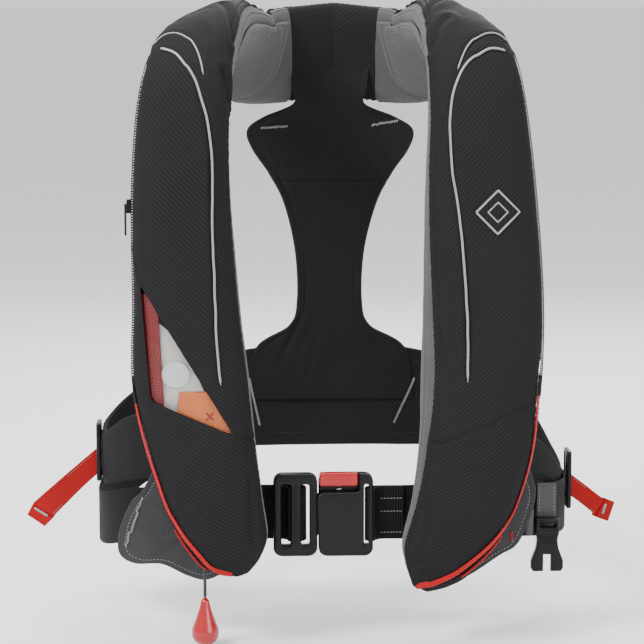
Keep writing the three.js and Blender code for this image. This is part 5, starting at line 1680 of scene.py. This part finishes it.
class MakeZips(Maker, bpy.types.Operator):
    """Red binding and teeth along both lobes"""

    bl_idname = "life_jacket.zips"
    bl_label = "Zips"

    def execute(self, context):
        make_zips()
        return {"FINISHED"}


class MakePiping(Maker, bpy.types.Operator):
    """Reflective lines on both covers"""

    bl_idname = "life_jacket.piping"
    bl_label = "Piping"

    def execute(self, context):
        make_piping()
        return {"FINISHED"}


class MakeWindow(Maker, bpy.types.Operator):
    """Clear pane and the flaps behind it"""

    bl_idname = "life_jacket.window"
    bl_label = "Window"

    def execute(self, context):
        make_window()
        return {"FINISHED"}


class MakeBladder(Maker, bpy.types.Operator):
    """The folded bladder inside the covers"""

    bl_idname = "life_jacket.bladder"
    bl_label = "Bladder"

    def execute(self, context):
        make_bladder()
        return {"FINISHED"}


class MakeGear(Maker, bpy.types.Operator):
    """Finishes of the stowed mouldings"""

    bl_idname = "life_jacket.gear"
    bl_label = "Inflation gear"

    def execute(self, context):
        make_gear()
        return {"FINISHED"}


class MakeBack(Maker, bpy.types.Operator):
    """Yoke, waist band and bar tacks"""

    bl_idname = "life_jacket.back"
    bl_label = "Back yoke"

    def execute(self, context):
        make_back()
        return {"FINISHED"}


class MakeSidePanels(Maker, bpy.types.Operator):
    """Lower panels behind the lobes"""

    bl_idname = "life_jacket.side_panels"
    bl_label = "Side panels"

    def execute(self, context):
        make_side_panels()
        return {"FINISHED"}


class MakeBelts(Maker, bpy.types.Operator):
    """Webbing round the waist"""

    bl_idname = "life_jacket.belts"
    bl_label = "Waist belt"

    def execute(self, context):
        make_belts()
        return {"FINISHED"}


class MakeBuckle(Maker, bpy.types.Operator):
    """Ladder half, socket and release button"""

    bl_idname = "life_jacket.buckle"
    bl_label = "Waist buckle"

    def execute(self, context):
        make_buckle()
        return {"FINISHED"}


class MakeAdjusters(Maker, bpy.types.Operator):
    """Ladder plates at both sides"""

    bl_idname = "life_jacket.adjusters"
    bl_label = "Side adjusters"

    def execute(self, context):
        make_adjusters()
        return {"FINISHED"}


class MakeTabs(Maker, bpy.types.Operator):
    """Red tabs at both sides"""

    bl_idname = "life_jacket.tabs"
    bl_label = "Pull tabs"

    def execute(self, context):
        make_tabs()
        return {"FINISHED"}


class MakeCrotch(Maker, bpy.types.Operator):
    """Strap, clip and keeper"""

    bl_idname = "life_jacket.crotch"
    bl_label = "Crotch strap"

    def execute(self, context):
        make_crotch()
        return {"FINISHED"}


class MakeBadge(Maker, bpy.types.Operator):
    """Plain diamond patch"""

    bl_idname = "life_jacket.badge"
    bl_label = "Badge"

    def execute(self, context):
        make_badge()
        return {"FINISHED"}


class MakeLoops(Maker, bpy.types.Operator):
    """Lifting loop and whistle loop"""

    bl_idname = "life_jacket.loops"
    bl_label = "Inner loops"

    def execute(self, context):
        make_loops()
        return {"FINISHED"}


MAKERS = (
    MakeStage, MakeCord, MakeCovers, MakeLinings, MakeCollar, MakePads, MakeZips, MakePiping, MakeWindow,
    MakeBladder, MakeGear, MakeBack, MakeSidePanels, MakeBelts, MakeBuckle, MakeAdjusters, MakeTabs,
    MakeCrotch, MakeBadge, MakeLoops,
)


class LifeJacketPanel(bpy.types.Panel):
    """Makes the jacket's pieces"""

    bl_idname = "VIEW3D_PT_life_jacket"
    bl_label = "Life jacket"
    bl_space_type = "VIEW_3D"
    bl_region_type = "UI"
    bl_category = "Life jacket"

    def draw(self, context):
        settings = context.scene.life_jacket
        for name in ("cover", "lining", "webbing", "red", "cord", "light"):
            self.layout.prop(settings, name)
        for maker in MAKERS:
            self.layout.operator(maker.bl_idname)


CLASSES = (LifeJacketSettings, *MAKERS, LifeJacketPanel)


def register():
    for made in CLASSES:
        bpy.utils.register_class(made)
    bpy.types.Scene.life_jacket = PointerProperty(type=LifeJacketSettings)


def unregister():
    del bpy.types.Scene.life_jacket
    for made in reversed(CLASSES):
        bpy.utils.unregister_class(made)


def main():
    register()
    for maker in MAKERS:
        group_name, step = maker.bl_idname.split(".")
        if getattr(getattr(bpy.ops, group_name), step)() != {"FINISHED"}:
            raise RuntimeError(maker.bl_label)


if __name__ == "__main__":
    main()
